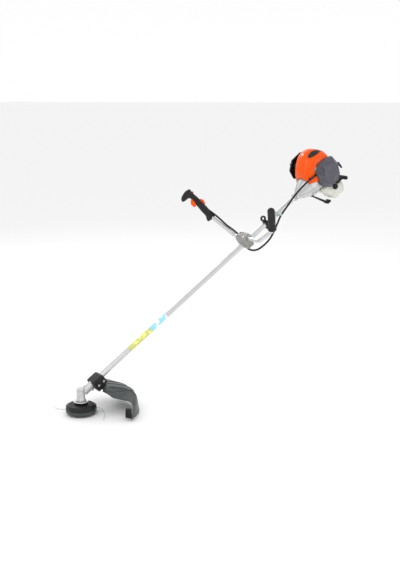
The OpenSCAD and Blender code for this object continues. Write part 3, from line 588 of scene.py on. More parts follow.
def setStage():
    bm = bmesh.new()
    bmesh.ops.create_grid(bm, x_segments=1, y_segments=1, size=60)
    mesh = bpy.data.meshes.new("floor")
    bm.to_mesh(mesh)
    bm.free()
    floor = bpy.data.objects.new("floor", mesh)
    bpy.context.scene.collection.objects.link(floor)
    paint = bpy.data.materials.new("paleFloor")
    paint.use_nodes = True
    surface = paint.node_tree.nodes["Principled BSDF"]
    surface.inputs["Base Color"].default_value = (*view["floor"], 1)
    surface.inputs["Roughness"].default_value = 0.9
    mesh.materials.append(paint)
    world = bpy.data.worlds.new("studio")
    world.use_nodes = True
    w = Wiring(world.node_tree)
    height = w.node("ShaderNodeSeparateXYZ")
    w.link(w.node("ShaderNodeTexCoord").outputs["Generated"], height.inputs[0])
    shade = w.blend(w.span(height.outputs["Z"], 0.02, 0.75), (*view["horizon"], 1), (*view["ceiling"], 1))
    w.link(shade, world.node_tree.nodes["Background"].inputs["Color"])
    bpy.context.scene.world = world
    for name, (at, aim, size, watts) in view["panels"].items():
        softLight(name, at, aim, size, watts)


bpy.context.scene.view_settings.view_transform = view["transform"]
setCamera()
setStage()
print("camera and stage set")


# ---- cutting lines ----

cutting = {
    "diameter": 2.4,
    "routeA": [(61, -22, 26), (66, -24, 26), (76, -33, 26), (80, -52, 24), (77, -76, 20), (70, -97, 16),
               (58, -119, 10), (43, -140, 5)],
    "routeB": [(-61, 22, 26), (-66, 24, 26), (-77, 31, 26), (-88, 42, 26), (-97, 55, 27), (-103, 68, 29)],
    "lengthA": 0.136,
    "lengthB": 0.067,
}


def cuttingLine(name, route, node):
    path = [headFrame @ p for p in smoothPath(route, 6)]
    data = bpy.data.curves.new(name, "CURVE")
    data.dimensions = "3D"
    data.bevel_depth = cutting["diameter"] / 2000
    data.bevel_resolution = 4
    data.use_fill_caps = True
    spline = data.splines.new("POLY")
    spline.points.add(len(path) - 1)
    for point, place in zip(spline.points, path):
        point.co = (*place, 1)
    data.materials.append(finishes["nylon"])
    line = bpy.data.objects.new(name, data)
    bpy.context.scene.collection.objects.link(line)
    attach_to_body(line, "head")
    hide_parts(node)


cuttingLine("cuttingLineA", cutting["routeA"], "cutting_line_a")
cuttingLine("cuttingLineB", cutting["routeB"], "cutting_line_b")
print("cutting lines laid")


# ---- engine: orange cover with its black vent insert ----

cover = {
    "wall": 2.6,
    "front": 1549.0,
    "rear": 1727.0,
    "centre": 3.0,  # sideways offset of the crown
    "ridge": [(1549, 56), (1553, 76), (1559, 95), (1570, 112), (1590, 131), (1612, 146), (1632, 153.5),
              (1652, 155),
              (1671, 151), (1690, 140), (1708, 125), (1727, 104)],
    "halfWidth": [(1549, 57), (1560, 60), (1585, 63), (1620, 65), (1670, 64), (1712, 57), (1727, 50)],
    "boxiness": [(1549, 2.0), (1575, 2.4), (1620, 2.8), (1727, 2.9)],
    "nearHem": [(1549, 24), (1558, 27), (1585, 13), (1612, 6), (1694, 6), (1712, 34), (1727, 62)],
    "farHem": [(1549, 20), (1600, 4), (1694, 4), (1712, 34), (1727, 62)],
    "ventEdge": [(1614, 0.35), (1630, 0.378), (1660, 0.39), (1687, 0.395), (1709, 0.385), (1724, 0.315),
                 (1684, 0.25), (1651, 0.24), (1627, 0.265), (1616, 0.305)],
}


# Point on the cover: station along the tube, share from the near hem over the crown to the far hem.
def coverPoint(station, share, lift=0.0):
    def at(s, v):
        ridge, half, power = ramp(cover["ridge"], s), ramp(cover["halfWidth"], s), ramp(cover["boxiness"],
            s)
        near = (ramp(cover["nearHem"], s) / ridge) ** (power / 2)
        far = (ramp(cover["farHem"], s) / ridge) ** (power / 2)
        first, last = pi - asinOf(near), asinOf(far)
        turn = first + (last - first) * v
        across = half * abs(cos(turn)) ** (2 / power) * (1 if cos(turn) >= 0 else -1)
        return Vector((s, cover["centre"] * max(sin(turn), 0) + across,
                       ridge * max(sin(turn), 0) ** (2 / power)))
    point = at(station, share)
    if lift:
        step = 0.004
        alongS = at(min(station + 0.5, cover["rear"]), share) - at(max(station - 0.5, cover["front"]),
            share)
        alongV = at(station, min(share + step, 1)) - at(station, max(share - step, 0))
        point += alongV.cross(alongS).normalized() * lift
    return point


def asinOf(x):
    return atan2(x, sqrt(max(1e-9, 1 - x * x)))


def makeEngineCover():
    stations = [1549, 1550.5, 1553, 1556, 1560, 1565, 1571, 1578, 1586, 1595, 1604, 1613, 1622, 1631, 1640,
                1649,
                1658, 1667, 1676, 1685, 1694, 1703, 1711, 1719, 1724, 1727]

    def rule(u, v):
        k = u * (len(stations) - 1)
        i = min(int(k), len(stations) - 2)
        return coverPoint(stations[i] + (stations[i + 1] - stations[i]) * (k - i), v)
    bm = startPiece()
    sheetOf(bm, len(stations) - 1, 34, rule)
    return finishPiece(bm, "engineCover", "root", "orange_plastic", tubeFrame,
                       ["engine_cover"], solid=cover["wall"], smooth=1, bevel=0.8)


# A patch that lies on the cover inside an outline of (station, share) points.
def coverPatch(bm, edge, lift, rings=(1.0, 0.86, 0.6, 0.3), sink=(0, 0, 0, 0)):
    outline = rounded([(s, v * 1000, 0) for s, v in edge], 9, 3)
    centre = sum(outline, Vector()) / len(outline)
    loops = []
    for scale, drop in zip(rings, sink):
        points = [centre + (p - centre) * scale for p in outline]
        loops.append(loopOf(bm, [coverPoint(p.x, p.y / 1000, lift - drop) for p in points]))
    for a, b in zip(loops, loops[1:]):
        bmesh.ops.bridge_loops(bm, edges=a + b)
    capOf(bm, loops[-1])
    return loops


def makeVentInsert():
    bm = startPiece()
    coverPatch(bm, cover["ventEdge"], 2.2, (1.0, 0.97, 0.8, 0.74, 0.45, 0.2),
                       (2.6, 0, 0, 3.4, 3.6, 3.6))
    finishPiece(bm, "ventInsert", "root", "black_plastic", tubeFrame, crisp=30)
    bm = startPiece()
    for k in range(7):
        station = 1636 + k * 9
        low, high = 0.275 + 0.002 * k, 0.36 - 0.001 * k
        points = [coverPoint(station + 4 * t, low + (high - low) * t, -0.4) for t in (0, 0.25, 0.5, 0.75,
            1)]
        tubeAlong(bm, points, 1.5, 8)
    finishPiece(bm, "ventBars", "root", "grey_plastic", tubeFrame)


# Raised crease and panel line that follow the cover's side.
def makeCoverDetails():
    bm = startPiece()
    for share in (0.2, 0.83):
        path = [coverPoint(1560 + 7.5 * k, share + 0.0016 * (k - 9) ** 2 / 9, 0.2) for k in range(19)]
        tubeAlong(bm, path, [0.3] + [1.3] * 17 + [0.3], 10)
    finishPiece(bm, "coverCreases", "root", "orange_plastic", tubeFrame)
    bm = startPiece()
    for station, share in ((1566, 0.1), (1700, 0.12)):
        place = coverPoint(station, share, -1.0)
        out = (coverPoint(station, share, 3) - place).normalized()
        rod(bm, 4.4, place, place + out * 3.4, 24, 0.6)
        rod(bm, 2.0, place + out * 3.2, place + out * 3.5, 6)
    finishPiece(bm, "coverScrews", "root", "black_plastic", tubeFrame)
    bm = startPiece()
    low, high = -1.2, 1.4
    plaque = rounded([(-17, -6, 0), (17, -6, 0), (17, 6, 0), (-17, 6, 0)], 5, 4)
    outer = [coverPoint(1612 + p.x, 0.19 + p.y / 640, high) for p in plaque]
    inner = [coverPoint(1612 + p.x * 0.9, 0.19 + p.y * 0.78 / 640, high) for p in plaque]
    floor = [coverPoint(1612 + p.x * 0.86, 0.19 + p.y * 0.7 / 640, 0.7) for p in plaque]
    foot = [coverPoint(1612 + p.x * 1.04, 0.19 + p.y * 1.08 / 640, low) for p in plaque]
    skin(bm, [foot, outer, inner, floor], (False, True))
    finishPiece(bm, "blankPlaque", "root", "orange_plastic", tubeFrame, crisp=25)


makeEngineCover()
makeVentInsert()
makeCoverDetails()
print("engine cover made")


# ---- engine: filter cover, latch and recess ----

filterBox = {
    "back": [(1604, 58), (1601, 3), (1616, -40), (1640, -58), (1694, -54), (1726, -32), (1742, 23),
             (1730, 70),
             (1694, 82), (1640, 88)],
    "face": [(1626, 26), (1616, 2), (1628, -30), (1648, -46), (1688, -44), (1712, -26), (1726, 18),
             (1716, 46),
             (1690, 58), (1648, 54)],
    "backAt": -52.0,
    "shoulderAt": -72.0,
    "faceAt": -93.0,
    "edge": 2.4,
    "faceInset": 9,
    "tiltFrom": 1660,  # the face steps in beyond this station
    "chokeAt": (1748, -58, 8),
}


def makeFilterCover():
    bm = startPiece()
    place = lambda outline, y: [Vector((s, y, n)) for s, n in outline]
    ringBack = place(filterBox["back"], filterBox["backAt"])
    ringShoulder = place(filterBox["back"], filterBox["shoulderAt"])
    ringFace = place(filterBox["face"], filterBox["faceAt"])
    skin(bm, [ringBack, ringShoulder, ringFace], (False, True))
    bmesh.ops.recalc_face_normals(bm, faces=bm.faces)
    face = min(bm.faces, key=lambda f: f.calc_center_median().y)
    bmesh.ops.inset_region(bm, faces=[face], thickness=filterBox["faceInset"], depth=0)
    bmesh.ops.translate(bm, verts=[v for v in face.verts if v.co.x > filterBox["tiltFrom"]], vec=(0, 3, 0))
    slopes = [f for f in bm.faces if f is not face and f.calc_center_median().y < -76 and len(f.verts) == 4]
    pocket = min(slopes, key=lambda f: (f.calc_center_median() - Vector((1622, -82, 62))).length)
    bmesh.ops.inset_region(bm, faces=[pocket], thickness=3.4, depth=0)
    bmesh.ops.inset_region(bm, faces=[pocket], thickness=1.2, depth=-7)
    scoop = min((f for f in slopes if f is not pocket and f.is_valid),
                key=lambda f: (f.calc_center_median() - Vector((1626, -82, -30))).length)
    bmesh.ops.inset_region(bm, faces=[scoop], thickness=4, depth=-2)
    roundEdges(bm, [e for e in bm.edges if not e.is_boundary and e.calc_face_angle(0) > radians(12)],
               filterBox["edge"], 2)
    finishPiece(bm, "filterCover", "root", "filter_plastic", tubeFrame,
                ["filter_cover"], solid=2.2, crisp=30)
    bm = startPiece()
    rod(bm, 3, (1748, -70, 8), (1748, -56, 8), 20, 0.5)
    box(bm, (1735, -57, 2), (1750.5, -53.4, 14), bevel=1.2)
    finishPiece(bm, "chokePivot", "root", "filter_plastic", tubeFrame)


def makeChokeLever():
    bm = startPiece()
    place = Matrix.Translation(filterBox["chokeAt"])
    turned(bm, [(3.1, -9), (8, -9), (8.6, -8.2), (8.6, -0.8), (8, 0), (3.1, 0)], place @ alongY, 40)
    arm = rounded([(-5, 2, 0), (3.5, -31, 0), (8, -34, 0), (11, -30, 0), (7.5, 2, 0)], 3, 3)
    turn = Matrix(((1, 0, 0, 0), (0, 0, -1, 0), (0, 1, 0, 0),
                   (0, 0, 0, 1)))  # outline x stays, outline y goes up
    plate(bm, arm, 3.0, 8.6, place @ turn, 1.4)
    for k in range(4):
        rod(bm, 0.9, place @ Vector((2.4 + k * 1.5, -9.0, -14 - 4.6 * k)),
            place @ Vector((10 + k * 0.2, -9.0, -12 - 4.6 * k)), 8)
    return finishPiece(bm, "chokeLever", "choke", "black_plastic", tubeFrame,
                       ["choke_lever"])


makeFilterCover()
makeChokeLever()
print("filter cover made")


# ---- engine: muffler cover ----

mufflerGuard = {
    "outline": [(1555, 44), (1566, 34), (1664, 34), (1676, 46), (1677, 118), (1663, 133), (1600, 130),
                (1556, 90)],
    "back": 67.0,
    "shoulder": 76.0,
    "face": 91.0,
    "centre": (1616, 0, 84),
    "slots": 5,
    "mouth": (1604, 84, 60),
}


def makeMufflerGuard():
    bm = startPiece()
    m = mufflerGuard
    centre = Vector(m["centre"])
    ring = lambda y, grow: [centre + (Vector((s, 0, n)) - centre) * grow + Vector((0, y, 0)) for s,
                            n in m["outline"]]
    skin(bm, [ring(m["back"], 1.0), ring(m["shoulder"], 0.99), ring(m["face"] - 4, 0.86),
              ring(m["face"], 0.76)], (False, True))
    roundEdges(bm, [e for e in bm.edges if not e.is_boundary and e.calc_face_angle(0) > radians(14)], 2, 2)
    finishPiece(bm, "mufflerGuard", "root", "black_plastic", tubeFrame,
                ["muffler_cover"], solid=2.4, crisp=32)
    bm = startPiece()
    for k in range(m["slots"]):
        s = 1586 + k * 14
        box(bm, (s, m["face"] - 2.6, 48), (s + 4.4, m["face"] + 2.4, 112), bevel=1.4)
    finishPiece(bm, "mufflerRibs", "root", "grey_plastic", tubeFrame)
    bm = startPiece()
    turned(bm, [(6.4, 0), (8, 0), (8, 8), (9.4, 9), (9.4, 11), (6.4, 11)],
           Matrix.Translation(m["mouth"]) @ alongY, 32)
    finishPiece(bm, "exhaustMouth", "root", "steel", tubeFrame)


makeMufflerGuard()
print("muffler guard made")


# ---- engine: translucent tank and its cap ----

tank = {
    "halfWidth": 44.0,
    "profile": [(1602, -58), (1606, -70), (1640, -112), (1652, -146), (1660, -149), (1720, -149),
                (1730, -140),
                (1737, -120), (1736, -98), (1722, -92), (1678, -66), (1650, -56)],
    "neck": (1672, -80),
    "neckFoot": -44,
    "capRibs": 18,
}


def makeTank():
    bm = startPiece()
    outline = rounded([(s, n, 0) for s, n in tank["profile"]], 9, 3)
    centre = sum(outline, Vector()) / len(outline)
    w = tank["halfWidth"]
    layers = [(-w, 0.84), (-w + 2, 0.93), (-w + 7, 0.99), (-1.6, 1.0), (-1.5, 1.022), (1.5, 1.022),
              (1.6, 1.0),
              (w - 7, 0.99), (w - 2, 0.93), (w, 0.84)]
    rings = []
    for y, grow in layers:
        shape = [centre + (p - centre) * grow for p in outline]
        rings.append([Vector((p.x, y, p.y)) for p in shape])
    skin(bm, rings)
    finishPiece(bm, "fuelTank", "root", "tank_plastic", tubeFrame, ["fuel_tank"], crisp=50)
    bm = startPiece()
    neck = Matrix.Translation((tank["neck"][0], tank["neckFoot"], tank["neck"][1])) @ alongY
    turned(bm, [(10.4, -14), (12, -14), (13, -13), (13, 2), (10.4, 2)],
           neck, 48)
    for k in range(3):
        turned(bm, [(12.6, -11.5 + k * 3), (13.7, -11 + k * 3), (13.7, -10.2 + k * 3),
                    (12.6, -9.8 + k * 3)],
               neck, 40)
    finishPiece(bm, "tankNeck", "root", "tank_plastic", tubeFrame)
    bm = startPiece()
    place = Matrix.Translation((tank["neck"][0], -58.3, tank["neck"][1])) @ alongY
    turned(bm, [(0, -11), (10.4, -11), (12.6, -10.2), (14, -8.6), (14.6, -6.5), (14.6, -1), (14, 0),
                (9.9, 0),
                (9.9, 9), (7.4, 9), (7.4, 0.4), (0, 0.4)], place, 72, closed=False)
    for k in range(tank["capRibs"]):
        a = 2 * pi * k / tank["capRibs"]
        rod(bm, 1.5, place @ Vector((14.1 * cos(a), 14.1 * sin(a), -8)),
            place @ Vector((14.1 * cos(a), 14.1 * sin(a), -1)), 10, 0.4)
    box(bm, (-10.4, -2.2, -14), (10.4, 2.2, -10.4), place, 1.2)
    finishPiece(bm, "fuelCap", "cap", "black_plastic", tubeFrame, ["fuel_cap"])
    bm = startPiece()
    tubeAlong(bm, smoothPath([(1640, -40, -60), (1638, -52, -52), (1636, -58, -34), (1634, -56, -10),
                              (1632, -54, 20)], 5), 2.2, 10)
    tubeAlong(bm, smoothPath([(1650, -40, -60), (1650, -50, -54), (1648, -52, -46), (1644, -50, -38)], 5),
              2.2, 10)
    finishPiece(bm, "fuelHoses", "root", "grip_rubber", tubeFrame)


makeTank()
print("tank made")


# ---- engine: starter housing, its grip and the rope ----

starter = {
    "slots": 12,
    "rope": (-44.0, -80.0),
    "gripAt": 1746.0,
}


def makeStarter():
    bm = startPiece()
    turned(bm, [(54, 1669), (58, 1669), (58, 1704), (57, 1711), (53, 1717), (46, 1721), (44, 1722),
                (18, 1722),
                (16, 1720), (7, 1720), (7, 1715), (40, 1715), (50, 1712), (54, 1706)], alongX, 96)
    for a in spokes(starter["slots"], 0.13, "X"):
        box(bm, (1715, -1.6, 18), (1724.0, 1.6, 47), a, 0.9)
    for a in spokes(3, 0.6, "X"):
        box(bm, (1672, -7, 52), (1700, 7, 61), a, 2)
        rod(bm, 3.4, a @ Vector((1699, 0, 57)), a @ Vector((1702.6, 0, 57)), 20, 0.5)
    finishPiece(bm, "starterHousing", "root", "black_plastic", tubeFrame,
                ["starter_housing"], crisp=30)
    bm = startPiece()
    y, n = starter["rope"]
    turned(bm, [(2.8, 1700), (8, 1700), (9, 1718), (7.6, 1722), (3.4, 1722), (2.8, 1720)],
           Matrix.Translation((0, y, n)) @ alongX, 40)
    box(bm, (1700, y - 6, n + 4), (1716, y + 12, n + 44), bevel=3)
    finishPiece(bm, "ropeGuide", "root", "black_plastic", tubeFrame)
    bm = startPiece()
    at = starter["gripAt"]
    rings = []
    for t in (-36, -35, -32, -26, -18, -8, 0, 8, 18, 26, 32, 35, 36):
        fat = {36: 4.0, 35: 6.6, 32: 9.2}.get(abs(t),
                                              10.0 - 1.3 * cos(t / 26 * pi / 2) if abs(t) < 26 else 10.0)
        rings.append([Vector((at + a, y + t, n + b)) for a, b in oval(fat * 0.95, fat, 2.4, 28)])
    skin(bm, rings)
    turned(bm, [(2.2, -26), (6, -26), (7.4, -24), (8.6, -6), (2.2, -6)],
           Matrix.Translation((at, y, n)) @ alongX, 32)
    for t in (-20, -12, -4, 4, 12, 20):
        path = [Vector((at + 9.7 * cos(a), y + t,
                        n + 10 * sin(a))) for a in [k * pi / 10 - pi / 2 for k in range(11)]]
        tubeAlong(bm, path, 0.9, 8)
    finishPiece(bm, "starterGrip", "pull_grip", "grip_rubber", tubeFrame, ["starter_grip"])
    bm = startPiece()
    start, end = 1704.0, at - 8
    stations = [start + (end - start) * k / 24 for k in range(25)]
    tubeAlong(bm, [Vector((s, y, n)) for s in stations], 1.9, 10)
    rope = finishPiece(bm, "starterRope", "root", "nylon", tubeFrame)
    rope.parent = None
    rope.matrix_world = Matrix.Identity(4)
    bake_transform(rope)


makeStarter()
print("starter made")


# ---- gear case, cap and flange ----

gear = {
    "columnRadius": 19.0,
    "armRadius": 16.5,
    "notches": 12,
}


def makeGearCase():
    bm = startPiece()
    r = gear["columnRadius"]
    turned(bm, [(15, 66), (23.4, 66), (24, 66.6), (24, 69.4), (23.2, 70.2), (20.4, 71), (r, 73), (r, 112),
                (r + 0.9, 113),
                (r + 0.9, 118), (r, 119), (16.4, 119), (16.4, 88), (15, 88)], steps=80)
    for turn in spokes(4, pi / 4):
        box(bm, (17, -1.5, 71), (20.6, 1.5, 112), turn, 0.8)
    finishPiece(bm, "gearColumn", "root", "cast_aluminium", headFrame, ["gear_case"])
    bm = startPiece()
    a = gear["armRadius"]
    turned(bm, [(12.6, 17), (19, 17), (18.6, 24), (17.3, 31), (a, 38), (a, 79), (a + 1.2, 80),
                (a + 1.2, 87), (a + 0.4, 88),
                (13.05, 88), (13.05, 34), (12.6, 33.4)], alongX, 72)
    box(bm, (46, -8, -24), (62, 8, -14), bevel=2)
    box(bm, (22, -1.6, -23), (47, 1.6, -14), bevel=1)
    for side in (-1, 1):
        box(bm, (20, side * 17.6 - 1.4, -2), (44, side * 17.6 + 1.4, 2), bevel=1.1)
    rod(bm, 5.4, (34, 0, 14), (34, 0, 20.4), 32, 0.7)
    rod(bm, 3.2, (34, 0, 20.2), (34, 0, 21.4), 6, 0.3)
    finishPiece(bm, "gearArm", "root", "cast_aluminium", tubeFrame)
    bm = startPiece()
    turned(bm, [(0, 119.1), (18.6, 119.1), (19.3, 119.8), (19.3, 121.4), (18.4, 122.2), (13.6, 122.4),
                (12.8, 124),
                (4.4, 124), (4, 123.4), (4, 121.2), (0, 121.2)], closed=False, steps=80)
    finishPiece(bm, "gearCap", "root", "cast_aluminium", headFrame, ["gear_case_cap"])


def makeFlange():
    bm = startPiece()
    turned(bm, [(5, 60), (33.6, 60), (35, 60.9), (35, 63.2), (33.6, 64.4), (26, 64.5), (25.4, 64.1),
                (23, 64.1),
                (22.4, 64.5), (16.4, 64.5), (12, 65), (12, 67.4), (5, 67.4)], steps=96)
    finishPiece(bm, "bladeFlange", "head", "flange_steel", headFrame, ["blade_flange"])
    bm = startPiece()
    outline = []
    count = gear["notches"]
    for k in range(count):
        for share, radius in ((0.0, 29.2), (0.14, 28.8), (0.24, 31.0), (0.5, 31.4), (0.76, 31.0),
                              (0.86, 28.8)):
            a = 2 * pi * (k + share) / count
            outline.append((radius * cos(a), radius * sin(a)))
    plate(bm, outline, 52.2, 59.8, bevel=0.7)
    finishPiece(bm, "driveAdapter", "head", "black_plastic", headFrame, ["drive_adapter"])


makeGearCase()
makeFlange()
print("gear case made")


# ---- trimmer head ----

head = {
    "radius": 70.0,
    "seam": 26.0,
    "gripRibs": 36,
    "domeRibs": 18,
    "knobRibs": 12,
    "eyeletAngle": -20.0,
}


def makeHeadShells():
    r, seam = head["radius"], head["seam"]
    bm = startPiece()
    turned(bm, [(5, 52), (31, 52), (33.5, 51.7), (38, 50.6), (44, 49.4), (54, 48.4), (61, 46.6),
                (66, 43.6), (69, 40), (r, 36.5),
                (r, seam + 1.4), (r - 0.8, seam + 0.3), (r - 4, seam + 0.3), (r - 4, 38), (r - 10, 43.2),
                (32, 46.8), (5, 46.8)],
           steps=108)
    for turn in spokes(head["domeRibs"], pi / head["domeRibs"]):
        rod(bm, 1.5, turn @ Vector((37, 0, 50.2)), turn @ Vector((58, 0, 47.3)), 10, 0.3)
    for z in (39.6, 35.4):
        turned(bm, [(r - 1.6, z - 1.1), (r + 0.1, z - 0.8), (r + 0.1, z + 0.8), (r - 1.6, z + 1.1)],
               steps=108)
    finishPiece(bm, "headHousing", "head", "black_plastic", headFrame, ["head_housing"])
    bm = startPiece()
    turned(bm, [(27, 4), (r - 16, 4), (r - 9, 5.2), (r - 4, 7.8), (r - 1, 11.4), (r, 15.5),
                (r, seam - 1.2), (r - 0.8, seam - 0.1),
                (r - 4, seam - 0.1), (r - 4, 15), (r - 8, 10.5), (r - 17, 8), (27, 7.6)], steps=108)
    for turn in spokes(head["gripRibs"], pi / head["gripRibs"]):
        rod(bm, 1.3, turn @ Vector((r - 0.8, 0, 13.6)), turn @ Vector((r - 0.6, 0, 22.4)), 8, 0.3)
    for radius in (34, 46):
        turned(bm, [(radius, 4.4), (radius, 3.4), (radius + 2, 3.4), (radius + 2, 4.4)], steps=96)
    for side in (0, pi):
        turn = Matrix.Rotation(side + radians(head["eyeletAngle"]) + pi / 2, 4, "Z")
        box(bm, (r - 6, -9, 18.4), (r + 0.6, 9, 24.6), turn, 1.6)
    finishPiece(bm, "headCover", "head", "grey_plastic", headFrame, ["head_cover"])


def makeKnob():
    bm = startPiece()
    turned(bm, [(0, 0.8), (10, 0.4), (17, 0), (21, 1), (24, 3.4), (25.4, 6.6), (25.5, 10.6), (0, 10.6)],
           steps=72, closed=False)
    for turn in spokes(head["knobRibs"]):
        rod(bm, 1.5, turn @ Vector((12, 0, 1.8)), turn @ Vector((22.2, 0, 3.6)), 10, 0.3)
    finishPiece(bm, "bumpKnob", "bump", "black_plastic", headFrame, ["bump_knob"])
    bm = startPiece()
    r = head["radius"]
    for side in (0, pi):
        turn = Matrix.Rotation(side + radians(head["eyeletAngle"]), 4,
                               "Z") @ Matrix.Translation((0, 0, head["seam"]))
        turned(bm, [(1.8, r - 5), (4.5, r - 5), (4.5, r + 0.4), (5.4, r + 0.4), (5.9, r + 0.9),
                    (5.4, r + 1.6),
                    (3, r + 1.6), (2, r + 0.8)], turn @ alongX, 40)
    finishPiece(bm, "lineEyelets", "head", "steel", headFrame, ["line_eyelets"])


makeHeadShells()
makeKnob()
print("head made")


# ---- guard, bracket and line knife ----

guard = {
    "wall": 3.0,
    "profile": [(100, 117), (128, 117), (150, 115.6), (178, 112), (205, 106.4), (226, 99.6), (241, 92.6),
                (251, 84),
                (257, 73), (260, 60), (263, 38), (265.6, 16)],
    "near": (-24, -34, -38, -39, -39.5, -40, -43, -46, -47.5, -49, -53, -58),  # degrees around the head
    "far": [(0, 52), (0.18, 45), (0.27, 39), (0.36, 33), (0.55, 27), (1, 24)],
    "droop": [(0, 12), (0.09, 20), (0.18, 31), (0.36, 31), (0.46, 26), (0.64, 20), (1, 0)],
    "crease": 0.35,  # share along at which the near side starts to hang
}


# Point on the guard: share across from the bracket to the rim, share along from the near end to the far end.
def guardPoint(across, along, lift=0.0):
    last = len(guard["profile"]) - 1
    k = across * last
    i = min(int(k), last - 1)
    (r0, z0), (r1, z1) = guard["profile"][i], guard["profile"][i + 1]
    t = k - i
    r, z = r0 + (r1 - r0) * t, z0 + (z1 - z0) * t
    length = hypot(r1 - r0, z1 - z0)
    r, z = r - (z1 - z0) / length * lift, z + (r1 - r0) / length * lift
    near = guard["near"][i] + (guard["near"][i + 1] - guard["near"][i]) * t
    far = ramp(guard["far"], across)
    a = radians(near + (far - near) * along)
    corner = (1 - across) ** 3 * along ** 2
    r, z = r + 34 * corner, z + 4 * corner
    z -= ramp(guard["droop"], across) * max(0.0, 1 - along / guard["crease"])
    return Vector((r * cos(a), r * sin(a), z))


def makeGuard():
    bm = startPiece()
    sheetOf(bm, 24, 40, lambda u, v: guardPoint(u, v))
    finishPiece(bm, "guardShield", "root", "grey_plastic", headFrame, ["guard_shield"],
                solid=guard["wall"], bevel=0.9, smooth=1)
    bm = startPiece()
    for along in (0.0, 1.0):
        path = [guardPoint(k / 30, along, -1.2) for k in range(31)]
        tubeAlong(bm, path, [1.4] + [2.6] * 29 + [1.4], 12)
    rim = [guardPoint(1.0, k / 40, -1.4) for k in range(41)]
    tubeAlong(bm, rim, 2.7, 12)
    for along in (0.3, 0.5, 0.7):
        path = [guardPoint(0.12 + 0.6 * k / 20, along, 0.4) for k in range(21)]
        tubeAlong(bm, path, [0.4] + [1.7] * 19 + [0.4], 10)
    ridge = [guardPoint(0.05 + 0.5 * (k / 24) ** 1.2, 0.06 + 0.3 * k / 24, 0.3) for k in range(25)]
    tubeAlong(bm, ridge, [0.4] + [1.5] * 23 + [0.4], 10)
    finishPiece(bm, "guardRims", "root", "grey_plastic", headFrame)


def makeBracket():
    bm = startPiece()
    body = [(66, -32), (128, -32), (128, 9), (121, 17.5), (73, 17.5), (66, 11)]
    rings = []
    for y, grow in ((-33, 0.9), (-31, 1.0), (-20, 1.03), (20, 1.03), (31, 1.0), (33, 0.9)):
        centre = Vector((97, 0, -7))
        outline = rounded([(s, n, 0) for s, n in body], 6, 3)
        rings.append([Vector((centre.x + (p.x - centre.x) * grow, y,
                              centre.z + (p.y - centre.z) * grow)) for p in outline])
    skin(bm, rings)
    for side in (-1, 1):
        for s in (84, 114):
            rod(bm, 8, (s, side * 30, -12), (s, side * 35.4, -12), 32, 1.2)
        box(bm, (74, side * 33 - 2, -2), (120, side * 33 + 2, 2), bevel=1.6)
    box(bm, (70, -27, -44), (118, 27, -30), bevel=3)
    for k in range(4):
        box(bm, (76 + k * 11, -28.4, -42), (80 + k * 11, 28.4, -30), bevel=1.2)
    finishPiece(bm, "guardBracket", "root", "black_plastic", tubeFrame, ["guard_bracket"])


def makeKnife():
    bm = startPiece()
    turn = Matrix.Rotation(radians(-55), 4, "Z")
    box(bm, (228, -3, 12), (254, 15, 56), turn, 3)
    for k in range(3):
        box(bm, (231 + k * 7, -4.2, 16), (234 + k * 7, -2.6, 52), turn, 0.7)
    box(bm, (250, -3, 14), (258.5, 3, 58), turn, 1.6)
    finishPiece(bm, "knifeHolder", "root", "black_plastic", headFrame, ["knife_holder"])
    bm = startPiece()
    box(bm, (218.4, 15.2, 16), (250, 17, 46), turn, 0.3)
    rod(bm, 3.6, turn @ Vector((244, 16.8, 30)), turn @ Vector((244, 19, 30)), 24, 0.5)
    finishPiece(bm, "lineKnife", "root", "steel", headFrame, ["line_knife"])


makeGuard()
makeBracket()
makeKnife()
print("guard made")


# ---- tube stickers and the harness ring ----

tubeTrim = {
    "yellow": (306, 446),
    "blue": (448, 551),
    "clipStation": 1331,
}


def stickerMaterial(name, base, mark, pale):
    made = bpy.data.materials.new(name)
    made.use_nodes = True
    w = Wiring(made.node_tree)
    surface = made.node_tree.nodes["Principled BSDF"]
    place = w.node("ShaderNodeTexCoord").outputs["Object"]
    blocks = w.node("ShaderNodeTexVoronoi", feature="F1", distance="CHEBYCHEV")
    w.feed(blocks.inputs["Vector"], w.stretched(place, (60, 90, 60), (0, radians(layout["tilt"]), 0)))
    blocks.inputs["Scale"].default_value = 1.0
    tone = w.span(blocks.outputs["Color"], 0.42, 0.44)
    shade = w.blend(tone, (*base, 1), (*mark, 1))
    worn = w.span(w.noise(place, 160.0, 5.0, 0.65), 0.62, 0.7)
    w.link(w.blend(worn, shade, (*pale, 1)), surface.inputs["Base Color"])
    w.link(w.span(w.noise(place, 60.0), 0.3, 0.7, 0.28, 0.45), surface.inputs["Roughness"])
    return made


def makeStickers():
    for name, colour in (("yellow", ((0.83, 0.82, 0.22), (0.62, 0.62, 0.2), (0.9, 0.9, 0.82))),
                         ("blue", ((0.86, 0.93, 0.96), (0.32, 0.72, 0.86), (0.93, 0.95, 0.96)))):
        bm = startPiece()
        low, high = tubeTrim[name]
        r = layout["tubeRadius"]
        path = [Vector((low + (high - low) * k / 12, 0, 0)) for k in range(13)]
        tubeAlong(bm, path, r + 0.12, 72, caps=False)
        finishPiece(bm, name + "Sticker", "root", stickerMaterial(name + "Film", *colour), tubeFrame,
                    solid=0.1)


